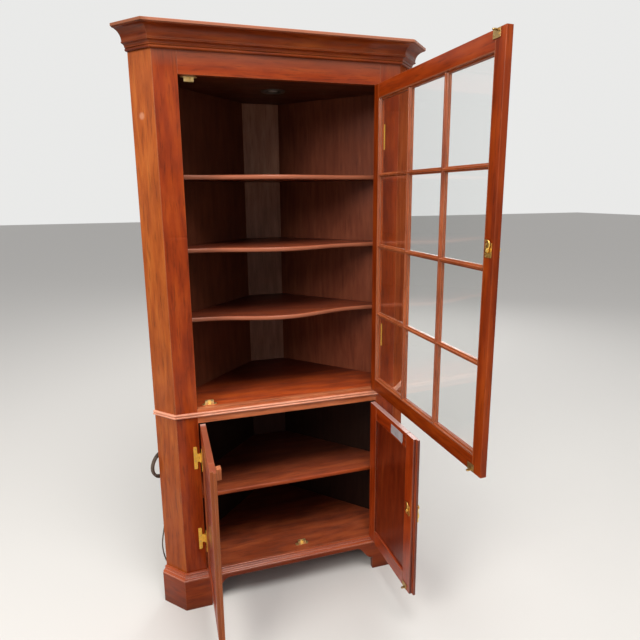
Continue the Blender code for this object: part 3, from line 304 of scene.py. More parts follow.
def grid(points, capped=True):
    """Vertices and faces of a surface P(i, j): quad (i, j), (i+1, j), (i+1, j+1), (i, j+1), with j closed on
    itself, and the first and last rows filled where it is capped."""
    rows, columns = points.shape[:2]
    index = np.arange(rows * columns).reshape(rows, columns)
    index = np.hstack([index, index[:, :1]])
    quads = np.stack([index[:-1, :-1], index[:-1, 1:], index[1:, 1:], index[1:, :-1]], axis=-1)
    faces = quads.reshape(-1, 4).tolist()
    if capped:
        faces += [index[0, :columns][::-1].tolist(), index[-1, :columns].tolist()]
    return points.reshape(-1, 3), faces


def joined(*parts):
    """One set of vertices and faces from several: each part's faces count on from the vertices before it."""
    vertices, faces, count = [], [], 0
    for points, own in parts:
        vertices.append(np.asarray(points, float))
        faces += [[i + count for i in face] for face in own]
        count += len(points)
    return np.vstack(vertices), faces


def opened(points, joint):
    """Turns shut pieces to the joint's rest place: P' = c + R (P - c), R the turn from shut to open."""
    hinge = next(j for j in frame["joints"] if j["name"] == joint)
    turn = Matrix.Rotation(math.radians(-hinge["range_deg"][0]), 3, Vector(hinge["axis"]))
    centre = np.array(hinge["pos_m"])
    return (points - centre) @ np.array(turn).T + centre


door_joint = {"glazed_door": "glazed_door_hinge", "glazed_turn": "glazed_door_hinge",
              "right_door": "right_door_hinge", "right_turn": "right_door_hinge", "left_door": "left_door_hinge"}
weld, rounded_from = 2e-6, math.radians(30)


def piece(name, shape, material, node=None, body="cabinet", crease=35, edge=0.0, slot="cherry"):
    """A finished piece from (vertices, faces), and the wood's own places where given, shut; a door's pieces are
    turned open. Doubles are merged and the faces turned outwards; arrises are rounded where an edge is given."""
    points = np.array(shape[0], float) + (0, front, 0)
    if body in door_joint:
        points = opened(points, door_joint[body])
    mesh = bpy.data.meshes.new(name)
    mesh.from_pydata(points.tolist(), [], shape[1])
    if len(shape) > 2:
        grain = mesh.attributes.new("grain", "FLOAT_VECTOR", "POINT")
        grain.data.foreach_set("vector", shape[2].astype(np.float32).ravel())
    solid = bmesh.new()
    solid.from_mesh(mesh)
    bmesh.ops.remove_doubles(solid, verts=solid.verts, dist=weld)
    bmesh.ops.recalc_face_normals(solid, faces=solid.faces)
    solid.to_mesh(mesh)
    solid.free()
    mesh.materials.append(material)
    made = bpy.data.objects.new(name, mesh)
    bpy.context.scene.collection.objects.link(made)
    mesh.shade_smooth()
    mesh.set_sharp_from_angle(angle=math.radians(crease))
    if edge:
        arris = made.modifiers.new("arris", "BEVEL")
        arris.width = edge
        arris.segments = 2
        arris.limit_method = "ANGLE"
        arris.angle_limit = rounded_from
        arris.harden_normals = True
    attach(made, body)
    if node:
        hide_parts(node)
    return made


def rounded_square(a, power):
    """How far a squared circle lies inside its radius: max(|cos a|, |sin a|) to a power."""
    return np.maximum(np.abs(np.cos(a)), np.abs(np.sin(a)))**power


angle = angles(32)
square = rounded_square(angle, 0.55)
width, depth, down = plug_rings[:, :1], plug_rings[:, 1:2], plug_rings[:, 2:]
plug_shape = grid(xyz(width * plug_half_width * np.cos(angle) / square,
                      depth * plug_half_depth * np.sin(angle) / square, down) + plug_top)
plug = piece("lead_plug", plug_shape, flex, "cord_plug", slot="cord")


def bump(tree, height, distance, strength=1.0):
    return add(tree, "Bump", {"Height": height, "Distance": distance, "Strength": strength})


def brass_material(name, tone, roughness):
    """Lacquered brass: warm metal with faint finger marks and darker tarnish in patches."""
    made = plain_material(name, tone, roughness)
    tree = made.node_tree
    place = object_place(tree)
    marks = noise(tree, place, 260, 4, 0.6)
    dull = tuple(c * 0.80 for c in tone)
    feed(made, {"Metallic": 1.0, "Base Color": ramp(tree, noise(tree, place, 45, 3, 0.6), (0.30, dull), (0.58, tone)),
                "Roughness": ramp(tree, marks, (0.35, roughness * 0.8), (0.75, roughness * 1.9)),
                "Normal": bump(tree, marks, 0.00002)})
    return made


def box(low, high):
    """A box's eight corners and six outward faces."""
    (a, b, c), (d, e, f) = low, high
    points = [(a, b, c), (d, b, c), (d, e, c), (a, e, c), (a, b, f), (d, b, f), (d, e, f), (a, e, f)]
    return np.array(points), [[3, 2, 1, 0], [4, 5, 6, 7], [0, 1, 5, 4], [1, 2, 6, 5], [2, 3, 7, 6], [3, 0, 4, 7]]


brass = brass_material("brass", (0.90, 0.52, 0.085), 0.34)
blades = [box(plug_top + (side * blade_out - thick, -wide, blade_tip),
              plug_top + (side * blade_out + thick, wide, blade_root)) for side in (-1, 1)]
prongs = piece("plug_blades", joined(*blades), brass, edge=0.0003, slot="brass")

# The ties: two twists of black wire that hold the loops together, above and below. Each is one closed ring of
# wire, squared round the four turns that it holds.

wire_radius, wire_twist, loop_half_high, loop_half_deep, loop_steps, wire_steps = 0.0009, 1.6, 0.0118, 0.0078, 36, 8
tie_shapes = []
for turn in (0.25, 0.75):
    c, s = math.cos(2 * math.pi * turn), math.sin(2 * math.pi * turn)
    spoke, tangent = c * rearward - s * skyward, s * rearward + c * skyward
    middle = beside_wall(coil_along, 0.012, coil_height) + spoke * (coil_radius - coil_step)
    u = angles(loop_steps)
    swell = rounded_square(u, 0.7)
    loop = (middle + (loop_half_high * np.cos(u) / swell)[:, None] * spoke
            + (loop_half_deep * np.sin(u) / swell)[:, None] * outward)
    normal = (loop - middle) / np.linalg.norm(loop - middle, axis=1)[:, None]
    v = angles(wire_steps)[:, None, None]
    tube = loop + wire_radius * (np.cos(v) * normal + np.sin(v) * wire_twist * tangent)
    points, faces = grid(np.swapaxes(tube, 0, 1), capped=False)
    last = (loop_steps - 1) * wire_steps
    faces += [[last + k, last + (k + 1) % wire_steps, (k + 1) % wire_steps, k] for k in range(wire_steps)]
    tie_shapes.append((points, faces))
ties = piece("coil_ties", joined(*tie_shapes), plain_material("tie_wire", (0.02, 0.02, 0.02), 0.5), slot="cord")

# The wood: cherry, stained red-brown and sprayed with a satin lacquer. Every board carries its own place in the
# tree, so that the rings and streaks run along it. It is darker inside the case and on the doors' inner faces.
# Inside, painted shade darkens it towards the rear and below the upper deck, and painted light lifts it on the
# right and high on the rear panel. A painted sheen makes the waist and base mouldings and the grille paler and
# pinker, and painted highlights, together with some wear, lighten the arrises.


def new_group(name, inputs, outputs):
    """An empty node group with its sockets: the group, the sockets that it is given, and its result node."""
    group = bpy.data.node_groups.new(name, "ShaderNodeTree")
    for in_out, sockets in (("INPUT", inputs), ("OUTPUT", outputs)):
        for socket, kind in sockets.items():
            group.interface.new_socket(socket, in_out=in_out, socket_type="NodeSocket" + kind)
    given = group.nodes.new("NodeGroupInput").outputs if inputs else None
    return group, given, group.nodes.new("NodeGroupOutput")


def cherry_figure():
    """Rings at 2 pi r / spacing about a wandering, tilted pith, broad patches, fine streaks and open pores."""
    tree, given, result = new_group("cherry_figure", {"Place": "Vector", "Spacing": "Float"},
                                    {"Figure": "Float", "Streaks": "Float", "Height": "Float"})
    place = given["Place"]
    slow = add(tree, "Mapping", {"Vector": place, "Scale": (1, 1, 0.22)})
    drift = add(tree, "TexNoise", {"Vector": slow, "Scale": 13, "Detail": 2}, "Color")
    wavy = add(tree, "VectorMath", {0: drift, 1: (0.022, 0.022, 0), 2: place}, operation="MULTIPLY_ADD")

    def along_grain(stretch, scale, detail, roughness):
        return noise(tree, add(tree, "Mapping", {"Vector": wavy, "Scale": (1, 1, stretch)}), scale, detail, roughness)

    wander = along_grain(0.16, 5.5, 2, 0.5)
    x, y, z = add(tree, "SeparateXYZ", {0: place}).node.outputs
    x = math_of(tree, "MULTIPLY_ADD", wander, 0.16, math_of(tree, "MULTIPLY_ADD", z, 0.035, x))
    radius = math_of(tree, "SQRT", math_of(tree, "ADD", *(math_of(tree, "MULTIPLY", c, c) for c in (x, y))))
    ring = math_of(tree, "SINE", math_of(tree, "DIVIDE", math_of(tree, "MULTIPLY", radius, 6.2832), given["Spacing"]))
    ring = math_of(tree, "MULTIPLY_ADD", ring, 0.5, 0.5)
    patches = math_of(tree, "MULTIPLY", along_grain(0.20, 30, 4, 0.55), 0.93)
    figure = math_of(tree, "SUBTRACT", math_of(tree, "MULTIPLY_ADD", ring, 0.09, patches), 0.01)
    streaks = along_grain(0.075, 175, 4, 0.62)
    height = math_of(tree, "MULTIPLY_ADD", streaks, 0.5, along_grain(0.020, 620, 2, 0.5))
    fill(tree, result, {"Figure": figure, "Streaks": streaks, "Height": height})
    return tree


def arris_mask():
    """How far each point's rounded normal leans from its true one, within reach: 0 on a flat, 1 on an arris."""
    tree, given, result = new_group("arris_mask", {"Reach": "Float"}, {"Arris": "Float"})
    rounded = add(tree, "Bevel", {"Radius": given["Reach"]}, samples=4)
    lean = add(tree, "VectorMath", {0: rounded, 1: add(tree, "NewGeometry", out="Normal")}, "Value",
               operation="DOT_PRODUCT")
    fill(tree, result, {"Arris": add(tree, "MapRange", {"Value": lean, "From Min": 0.995, "From Max": 0.80})})
    return tree


def settled_dust():
    """Upward faces, where the normal's height is over 0.7, times a broken noise."""
    tree, _, result = new_group("settled_dust", {}, {"Dust": "Float"})
    flat = add(tree, "MapRange", {"Value": part_of(tree, add(tree, "NewGeometry", out="Normal"), 2), "From Min": 0.7})
    fill(tree, result, {"Dust": math_of(tree, "MULTIPLY", flat, mottle(tree, 23, 6, 0.7))})
    return tree


figure_group, arris_group, dust_group = cherry_figure(), arris_mask(), settled_dust()
arris_reach, dust_tone, board_offset = 0.0028, (0.36, 0.30, 0.26), (0.31, 0.17, 0.0)


def cherry(name, dark, middle, light, gloss=(0.30, 0.50), coat=0.10, spacing=0.030, turn=None, arris_amount=0.5, dust=0.10,
           arris_tone=(0.58, 0.24, 0.11), fine=0.66, specular=0.12):
    """Stained cherry. Its place comes from the board's own grain attribute or, with a turn given, from the
    carried-over solid's Object coordinates turned so that Z runs along the board."""
    made = plain_material(name, middle, gloss[0])
    tree = made.node_tree
    if turn is None:
        place = add(tree, "Attribute", out="Vector", attribute_name="grain")
    else:
        place = object_place(tree, Rotation=turn, Location=board_offset)
    wood = add(tree, "Group", {"Place": place, "Spacing": spacing}, node_tree=figure_group).node.outputs
    colour = ramp(tree, wood["Figure"], (0.24, dark), (0.50, middle), (0.78, light))
    lines = ramp(tree, wood["Streaks"], (0.35, 0.46), (0.45, 0.92), (0.70, 1.08))
    colour = blend(tree, "MULTIPLY", fine, colour, lines)
    # The arrises take a lighter tone: partly wear, and partly a painted highlight where the lacquer would catch light.
    arris_share = math_of(tree, "MULTIPLY", add(tree, "Group", {"Reach": arris_reach}, node_tree=arris_group), arris_amount)
    colour = blend(tree, "MIX", arris_share, colour, arris_tone)
    settled = math_of(tree, "MULTIPLY", add(tree, "Group", node_tree=dust_group), dust)
    hands = mottle(tree, 7, 5, 0.68)
    shine = ramp(tree, hands, (0.30, gloss[0]), (0.75, gloss[1]))
    feed(made, {"Base Color": blend(tree, "MIX", settled, colour, dust_tone),
                "Roughness": blend(tree, "ADD", 0.10, shine, lines), "Specular IOR Level": specular,
                "Coat Weight": ramp(tree, hands, (0.35, coat), (0.72, coat * 0.3)), "Coat Roughness": 0.18,
                "Normal": bump(tree, wood["Height"], 0.00018, 0.55)})
    return made


outside = cherry("cherry_outside", (0.175, 0.0176, 0.0016), (0.285, 0.0353, 0.0028), (0.396, 0.0630, 0.0056),
                 gloss=(0.26, 0.44), coat=0.35)
canted = cherry("cherry_returns", (0.239, 0.0431, 0.0058), (0.386, 0.0840, 0.0115), (0.506, 0.140, 0.0230),
                gloss=(0.26, 0.42), coat=0.3)
run_wood = cherry("cherry_mouldings", (0.166, 0.0228, 0.0038), (0.271, 0.0440, 0.0065), (0.384, 0.0829, 0.0130),
                  gloss=(0.24, 0.36), coat=0.4, specular=0.08)
right_return = cherry("cherry_right_return", (0.250, 0.036, 0.008), (0.410, 0.073, 0.015), (0.550, 0.124, 0.029),
                      gloss=(0.50, 0.62), coat=0.0, specular=0.03)
right_deep = cherry("cherry_right_door", (0.213, 0.0201, 0.0030), (0.357, 0.0401, 0.0050), (0.508, 0.0707, 0.0089),
                    gloss=(0.20, 0.34), coat=0.9, arris_amount=0.7, arris_tone=(0.66, 0.30, 0.13))
left_deep = cherry("cherry_left_door", (0.180, 0.0170, 0.0027), (0.304, 0.0339, 0.0045), (0.431, 0.0599, 0.0081),
                   gloss=(0.26, 0.40), coat=0.35, arris_amount=0.7, arris_tone=(0.66, 0.32, 0.13))
panel_wood = cherry("cherry_door_panels", (0.106, 0.0104, 0.0025), (0.175, 0.0206, 0.0046), (0.253, 0.0371, 0.0079),
                    gloss=(0.24, 0.38), coat=0.7, arris_amount=0.6, arris_tone=(0.60, 0.26, 0.12))
door_wood = cherry("cherry_glazed_door", (0.162, 0.0174, 0.0016), (0.270, 0.0336, 0.0028), (0.389, 0.0623, 0.0056),
                   gloss=(0.22, 0.38), coat=0.15)
# The waist rail and waist moulding are much paler and pinker than the other outside wood: painted light and sheen.
waist_wood = cherry("cherry_waist_rail", (0.310, 0.0660, 0.0199), (0.520, 0.137, 0.0466), (0.680, 0.220, 0.0855),
                    gloss=(0.24, 0.40), coat=0.5)
waist_moulding_sheen = cherry("cherry_waist_moulding", (0.504, 0.170, 0.0900), (0.714, 0.286, 0.170), (0.819, 0.392, 0.250),
                       gloss=(0.16, 0.28), coat=1.0, arris_amount=0.2)
# The base moulding's pale pink arris tone is a painted highlight along its beads.
base_moulding_wood = cherry("cherry_base_moulding", (0.230, 0.0329, 0.0057), (0.375, 0.0618, 0.0113), (0.508, 0.101, 0.0203),
                       gloss=(0.12, 0.22), coat=1.0, arris_amount=0.60, arris_tone=(0.66, 0.38, 0.30), fine=0.25)
# The glazing bars are paler and pinker than the door, with pink arrises: painted sheen and painted highlights.
bar_wood = cherry("cherry_glazing_bars", (0.206, 0.0368, 0.0084), (0.323, 0.0681, 0.0168), (0.441, 0.110, 0.0300),
                  gloss=(0.12, 0.22), coat=1.0, arris_amount=0.35, arris_tone=(0.66, 0.36, 0.25))


def laid_over(made, value, start, end, tone, amount=None):
    """Lays a tone over the base colour, none of it where the value is at `start`, all where it is at `end`. It is
    multiplied in, or mixed in as far as an amount says. The value is a socket, or 0, 1 or 2 for x, y or z."""
    tree = made.node_tree
    if isinstance(value, int):
        value = part_of(tree, object_place(tree), value)
    share = {"Value": value, "From Min": start, "From Max": end, "To Max": amount or 1.0}
    paint = tree.nodes["Principled BSDF"].inputs["Base Color"].links[0].from_socket
    kind = "MIX" if amount else "MULTIPLY"
    feed(made, {"Base Color": blend(tree, kind, add(tree, "MapRange", share), paint, tone)})


def laid_on_top(made, slope, start, end, tone, amount):
    """Lays a tone above a plane that slopes from the hinge to the door's free end, by z + slope (y - front)."""
    tree = made.node_tree
    height = add(tree, "VectorMath", {0: object_place(tree), 1: (0, slope, 1)}, "Value", operation="DOT_PRODUCT")
    laid_over(made, height, start + slope * front, end + slope * front, tone, amount)


def free_end(made):
    """The y of the normal in the door's own space: -1 on its meeting edge, whichever way the door stands."""
    return part_of(made.node_tree, add(made.node_tree, "TexCoord", out="Normal"), 1)


scuff_place = (-0.4687, front + 0.0417, 1.830)
scuff = add(canted.node_tree, "VectorMath", {0: object_place(canted.node_tree), 1: scuff_place}, "Value",
            operation="DISTANCE")
laid_over(canted, scuff, 0.014, 0.007, (0.66, 0.34, 0.22), 0.45)
# Darker towards the bottom of the left return: painted shade, for light that falls off downwards.
laid_over(canted, 2, 1.10, 0.30, (0.86, 0.72, 0.50))
# Greyer brown mixed in at the top of the face frame: a painted reflection of the sky.
laid_over(outside, 2, 1.975, 2.020, (0.25, 0.095, 0.058), 0.5)
# Painted shade: the plinth below the base moulding is darker and cooler, and darker again near the floor.
laid_over(outside, 2, 0.1250, 0.1235, (0.80, 0.86, 1.0))
laid_over(outside, 2, 0.050, 0.0, (0.58, 0.58, 0.62))
# A paler tone along the cornice's top lip: a painted highlight.
laid_over(run_wood, 2, 2.0900, 2.0915, (0.50, 0.22, 0.14), 0.6)
# The cornice's left return is darkened: painted shade.
laid_over(run_wood, 0, -0.425, -0.450, (0.62, 0.56, 0.46))
laid_over(right_deep, free_end(right_deep), -0.5, -0.8, (0.40, 0.38, 0.30))
# A pale pink tone on the right door's top edge: a painted sheen.
laid_on_top(right_deep, 0.003, 0.7540, 0.7544, (0.58, 0.36, 0.33), 0.85)
laid_over(left_deep, free_end(left_deep), -0.5, -0.8, (0.30, 0.105, 0.034), 0.6)
# On the left door's top edge an orange-pink tone, and a paler one near the hinge: painted sheen.
laid_on_top(left_deep, 0.0, 0.7536, 0.7548, (0.36, 0.12, 0.065), 0.5)
laid_on_top(left_deep, 0.05, 0.7535, 0.7544, (0.60, 0.42, 0.38), 0.7)

# The face frame: two stiles with canted returns mitred to them, a deep rail over the glazed door and a narrow
# waist rail between the openings, all 20 mm cherry, glued and planed flush. The left stile has a small worn nick.

half_face, opening, stock, mitre = 0.427, 0.350, 0.020, math.tan(math.radians(22.5))
case_foot, case_top, hair = 0.003, 2.096, 0.0002
head_rail, waist_under, waist_over = 1.956, 0.757, 0.812
inner_arris = half_face - stock * mitre
nick_height, nick_reach, nick_half = 1.436, 0.0036, 0.012

UP, ACROSS, BACK = (0, 0, 1), (1, 0, 0), (0, 1, 0)


def in_wood(shape, seed, along=UP, across=ACROSS):
    """The shape with its place on its board: g = (P . across, P . (along x across), P . along) + offset(seed)."""
    points, faces = shape
    along, across = np.array(along, float), np.array(across, float)
    axes = np.stack([across, np.cross(along, across), along])
    offset = np.random.default_rng(seed).uniform((-0.22, -0.22, -3), (0.22, 0.22, 3))
    return points, faces, points @ axes.T + offset


def prism(outline, low, high, plane="XY"):
    """A straight prism: ring(w) = outline at w, for w low and high, in the plane's own two directions."""
    u, v = np.array(outline, float).T
    w = np.array([[low], [high]])
    return grid(xyz(*{"XY": (u, v, w), "XZ": (u, w, v), "YZ": (w, u, v)}[plane]))


def mirror(outline, side):
    return [(side * x, y) for x, y in outline]


def one_board(name, shape, seed, wood, along=UP, across=ACROSS, body="cabinet", **finish):
    """A piece that is a single board, with its grain along it."""
    piece(f"{name}_board", in_wood(shape, seed, along, across), wood, name, body, **finish)


nick_rows = np.concatenate([[case_foot], np.linspace(nick_height - nick_half, nick_height + nick_half, 25), [case_top]])
nick = np.exp(-((nick_rows - nick_height) / nick_reach)**2)
worn_in, worn_back = 0.0008 + 0.0042 * nick, 0.0008 + 0.0030 * nick
section = [(-opening, worn_back), (-opening, stock), (-inner_arris + hair, stock), (-half_face + hair, 0),
           (-opening - worn_in, 0), (-opening - worn_in * 0.3, worn_back * 0.35)]
left_shape = grid(np.stack([xyz(x, y, nick_rows) for x, y in section], axis=1))
one_board("left_stile", left_shape, 11, outside, edge=0.0005)
right_outline = [(opening, 0), (half_face - hair, 0), (inner_arris - hair, stock), (opening, stock)]
one_board("right_stile", prism(right_outline, case_foot, case_top), 12, outside, edge=0.0008)
cant_depth = 0.0735
cant_end = half_face + cant_depth
return_plan = [(half_face + hair, hair), (cant_end, cant_depth),
               (cant_end - stock * slant, cant_depth + stock * slant), (inner_arris + hair, stock)]
for side, name, seed, wood in ((-1, "left_return", 13, canted), (1, "right_return", 14, right_return)):
    shape = prism(mirror(return_plan, side), case_foot, case_top)
    one_board(name, shape, seed, wood, across=(side * slant, slant, 0), edge=0.0008)
for name, low, high, seed, wood in (("top_rail", head_rail, case_top, 23, outside),
                                    ("waist_rail", waist_under, waist_over, 24, waist_wood)):
    shape = box((-opening + hair, 0, low), (opening - hair, stock, high))
    one_board(name, shape, seed, wood, ACROSS, UP, edge=0.0008)

# The backs, decks and top board: the model's own boards, 9 and 18 mm, grooved together. Dark inside, with painted
# shade below the upper deck and towards the rear of the decks, and painted light on the right back board and high
# on the rear panel; the faces against the wall are bare and dry. The rear panel is a greyer veneer.

bare_tone, quarter = (0.21, 0.12, 0.065), 1.5708


def bare_outside(made):
    """Where the normal points rearwards by more than 0.5, the board is bare, dull wood."""
    tree = made.node_tree
    rear = math_of(tree, "GREATER_THAN", part_of(tree, add(tree, "NewGeometry", out="Normal"), 1), 0.5)
    fibres = noise(tree, object_place(tree, Scale=(1, 1, 0.03)), 120, 4, 0.6)
    lines = ramp(tree, fibres, (0.3, tuple(c * 0.7 for c in bare_tone)), (0.7, bare_tone))
    for name, bare in (("Base Color", lines), ("Roughness", (0.8, 0.8, 0.8))):
        stained = tree.nodes["Principled BSDF"].inputs[name].links[0].from_socket
        feed(made, {name: blend(tree, "MIX", rear, stained, bare)})


backs = cherry("back_boards", (0.0691, 0.0171, 0.0077), (0.0973, 0.0258, 0.0112), (0.128, 0.0372, 0.0165),
               turn=(0, 0, 0.785), gloss=(0.38, 0.58), spacing=0.022, arris_amount=0.0, dust=0.0, fine=0.42)
# Below the upper deck the back boards are darkened: painted shade in the lower cupboard.
laid_over(backs, 2, 0.80, 0.76, (0.12, 0.19, 0.26))
# The right back board is lightened: painted light from the lamp on the left.
laid_over(backs, 0, 0.05, 0.20, (1.75, 1.65, 1.75))
bare_outside(backs)
veneer = cherry("rear_veneer", (0.155, 0.0688, 0.0439), (0.206, 0.0951, 0.0619), (0.260, 0.126, 0.0850),
                turn=(0, 0, 0), gloss=(0.42, 0.6), coat=0.08, arris_amount=0.0, dust=0.0, fine=0.42)
# Below the upper deck the rear panel is darkened too: painted shade.
laid_over(veneer, 2, 0.80, 0.76, (0.20, 0.17, 0.18))
# High on the rear panel it is lightened: painted light.
laid_over(veneer, 2, 1.40, 1.66, (1.55, 1.55, 1.45))
bare_outside(veneer)
decks = cherry("deck_boards", (0.210, 0.0234, 0.0016), (0.396, 0.0504, 0.0032), (0.629, 0.0990, 0.0061),
               turn=(0, quarter, 0), gloss=(0.22, 0.38), coat=0.15, arris_amount=0.25)
# Towards the rear the upper deck is darkened: painted shade.
laid_over(decks, 1, front + 0.04, front + 0.25, (0.15, 0.14, 0.20))
low_deck = cherry("low_deck_board", (0.176, 0.0258, 0.0054), (0.323, 0.0533, 0.0108), (0.490, 0.0989, 0.0210),
                  turn=(0, quarter, 0), gloss=(0.24, 0.40), coat=0.15, arris_amount=0.4, dust=0.12)
# Towards the rear the lower deck is darkened: painted shade.
laid_over(low_deck, 1, front + 0.10, front + 0.34, (0.30, 0.30, 0.36))
tops = cherry("top_board_wood", (0.0298, 0.0072, 0.0035), (0.0638, 0.0160, 0.0063), (0.111, 0.0288, 0.0112),
              turn=(0, quarter, 0), spacing=0.013)
for node, wood in (("left_back_board", backs), ("right_back_board", backs), ("rear_panel", veneer),
                   ("lower_deck", low_deck), ("upper_deck", decks), ("top_board", tops)):
    frame["nodes"][node].data.materials.clear()
    frame["nodes"][node].data.materials.append(wood)

# The shelves: three in the upper part, cut to a bow in front and let into grooves in the backs, and a straight
# one below. Solid cherry, 18 mm, with the front arrises rounded over; their front faces and arrises are lighter
# and pinker, partly wear and partly a painted highlight.

shelf_rear, wall_reach, shelf_thick, rounding, panel_end = 0.486272, 0.565515, 0.018, 0.0075, 0.079243
bow_half, bow_front, bow_end, straight_y, low_end = 0.300, 0.055, 0.118, 0.050, 0.398716


def shelf_front(x):
    """y(x) = end - (end - bow) (1 + cos(pi x / half)) / 2 within the bow, and the end's own y beyond it."""
    return bow_end - (bow_end - bow_front) * (0.5 + 0.5 * np.cos(np.pi * np.clip(x / bow_half, -1, 1)))


def straight_front(x):
    """The same y all along the middle, then back along the canted ends at 45 degrees."""
    return np.maximum(straight_y, np.abs(x) - low_end + 0.0006)


def shelf(face_line, low, stations):
    """Sections across x: a front y(x) with quarter-round arrises, and a rear at reach - |x| or the rear panel."""
    rear = np.minimum(shelf_rear, wall_reach - np.abs(stations))[:, None]
    face = face_line(stations)[:, None]
    deep = np.minimum(rounding, (rear - face) * 0.45)
    angle = np.linspace(0, np.pi / 2, 7)
    lower_y, lower_z = 1 - np.sin(angle), 1 - np.cos(angle)
    y = np.concatenate([face + deep * lower_y, face + deep * lower_y[::-1], rear, rear], axis=1)
    z = np.concatenate([lower_z * rounding, shelf_thick - lower_z[::-1] * rounding, [shelf_thick, 0.0]])
    return grid(xyz(stations[:, None], y, low + z))


shelf_wood = cherry("shelf_boards", (0.0946, 0.0118, 0.0018), (0.163, 0.0229, 0.0032), (0.258, 0.0458, 0.0072),
                    gloss=(0.20, 0.36), coat=0.3, arris_amount=0.75, arris_tone=(0.66, 0.40, 0.30))
low_shelf_wood = cherry("low_shelf_board", (0.200, 0.0292, 0.0070), (0.340, 0.0568, 0.0128), (0.500, 0.103, 0.0244),
                        gloss=(0.24, 0.40), coat=0.15, arris_amount=0.6, dust=0.12, arris_tone=(0.66, 0.38, 0.26))
# Towards the rear the shelves are darkened: painted shade.
laid_over(low_shelf_wood, 1, front + 0.08, front + 0.24, (0.22, 0.26, 0.36))
laid_over(shelf_wood, 1, front + 0.08, front + 0.30, (0.36, 0.31, 0.36))
# The upper shelves' front faces are lightened and made pinker: partly wear, partly painted light facing the lamps.
facing = part_of(shelf_wood.node_tree, add(shelf_wood.node_tree, "NewGeometry", out="Normal"), 1)
laid_over(shelf_wood, facing, -0.35, -0.80, (0.42, 0.14, 0.075), 0.8)
ends = wall_reach - bow_end - 0.0004
stations = np.unique(np.concatenate([[-ends, -0.36, -panel_end, panel_end, 0.36, ends],
                                     np.linspace(-bow_half, bow_half, 61)]))
for word, low, seed in (("top", 1.62904, 31), ("middle", 1.36695, 32), ("low", 1.10704, 33)):
    one_board(f"upper_shelf_{word}", shelf(shelf_front, low, stations), seed, shelf_wood, ACROSS, UP, crease=50)
stations = np.array([-0.4790, -0.46, -0.4487, -bow_half, -panel_end, panel_end, bow_half, 0.4487, 0.46, 0.4790])
low_shelf = shelf(straight_front, 0.419005, stations)
one_board("lower_shelf", low_shelf, 34, low_shelf_wood, ACROSS, UP, crease=50, slot="cherry_inner")

# The cornice, waist moulding and base moulding: solid cherry run to profile, mitred at the two arrises and planted
# on the frame. The plinth below is 21 mm, cut to bracket feet with an ogee at each end.

planted, base_out, plinth_top, foot_inner = 0.0003, 0.021, 0.124, 0.336
left_end, left_arris = ((-cant_end, cant_depth), (-slant, -slant)), ((-half_face, 0), (-mitre, -1))
right_arris, right_end = ((half_face, 0), (mitre, -1)), ((cant_end, cant_depth), (slant, -slant))
runs = ((left_end, left_arris, (slant, -slant, 0)), (left_arris, right_arris, ACROSS),
        (right_arris, right_end, (slant, slant, 0)))


def round_part(centre, radius, start, end, steps=10):
    """Points centre + (rx cos a, rz sin a) for a from start to end, in degrees."""
    a = np.radians(np.linspace(start, end, steps))
    return np.stack([centre[0] + radius[0] * np.cos(a), centre[1] + radius[1] * np.sin(a)], axis=1)


def glued(*boards):
    """One piece from several boards in wood, each with its own grain."""
    points, faces = joined(*((p, f) for p, f, _ in boards))
    return points, faces, np.vstack([g for _, _, g in boards])


def run_of_moulding(profile, seed):
    """Three mitred lengths. At each end P = corner + out * direction, and the height is the profile's own."""
    out, rise = np.vstack([np.atleast_2d(part) for part in profile]).T
    lengths = []
    for k, (start, end, along) in enumerate(runs):
        rings = [xyz(x + dx * out + along[0] * gap, y + dy * out + along[1] * gap, rise)
                 for ((x, y), (dx, dy)), gap in ((start, hair / 2), (end, -hair / 2))]
        lengths.append(in_wood(grid(np.stack(rings)), seed + k, along, UP))
    return glued(*lengths)


sole, nose = 2.029, 0.060
cornice = [(planted, sole), (0.0055, sole), round_part((0.006, sole + 0.0045), (0.0042, 0.0042), -80, 80),
           round_part((0.018, sole + 0.0105), (0.0078, 0.0095), 178, 95), (0.0186, sole + 0.0203),
           round_part((0.0195, sole + 0.0240), (0.0034, 0.0032), -80, 80), (0.0205, sole + 0.0284),
           round_part((nose - 0.0035, sole + 0.0285), (nose - 0.0245, 0.0310), 180, 92, 18), (nose - 0.0035, 2.0905),
           (nose - 0.001, 2.0908), (nose, 2.0918), (nose, 2.0990), (nose - 0.001, 2.1000), (planted, 2.1000)]
piece("cornice_moulding", run_of_moulding(cornice, 41), run_wood, "cornice", crease=28)

bead, waist_low, waist_middle, waist_high = 0.00425, 0.783, 0.7915, 0.800
waist = [(planted, waist_low), round_part((0.009 - bead, waist_low + bead), (bead, bead - 0.0004), -90, 90, 12),
         round_part((0.008 - bead, waist_middle + bead), (bead, bead - 0.0004), -90, 90, 12), (planted, waist_high)]
piece("waist_moulding_run", run_of_moulding(waist, 46), waist_moulding_sheen, "waist_moulding", crease=40)

under, crown = 0.1243, 0.1475
base = [(planted, under), (base_out - 0.0006, under), (base_out, under + 0.0006), (base_out, under + 0.004),
        (base_out - 0.0012, under + 0.0048), round_part((base_out - 0.009, under + 0.005), (0.0072, 0.0064), 0, 88),
        (base_out - 0.0090, under + 0.0128),
        round_part((base_out - 0.0088, under + 0.0178), (0.0045, 0.0045), -95, -170),
        (base_out - 0.0138, crown - 0.0062),
        round_part((base_out - 0.015, crown - 0.003), (0.0036, 0.0030), -60, 90), (planted, crown)]
piece("base_moulding_run", run_of_moulding(base, 51), base_moulding_wood, "base_moulding", crease=30)

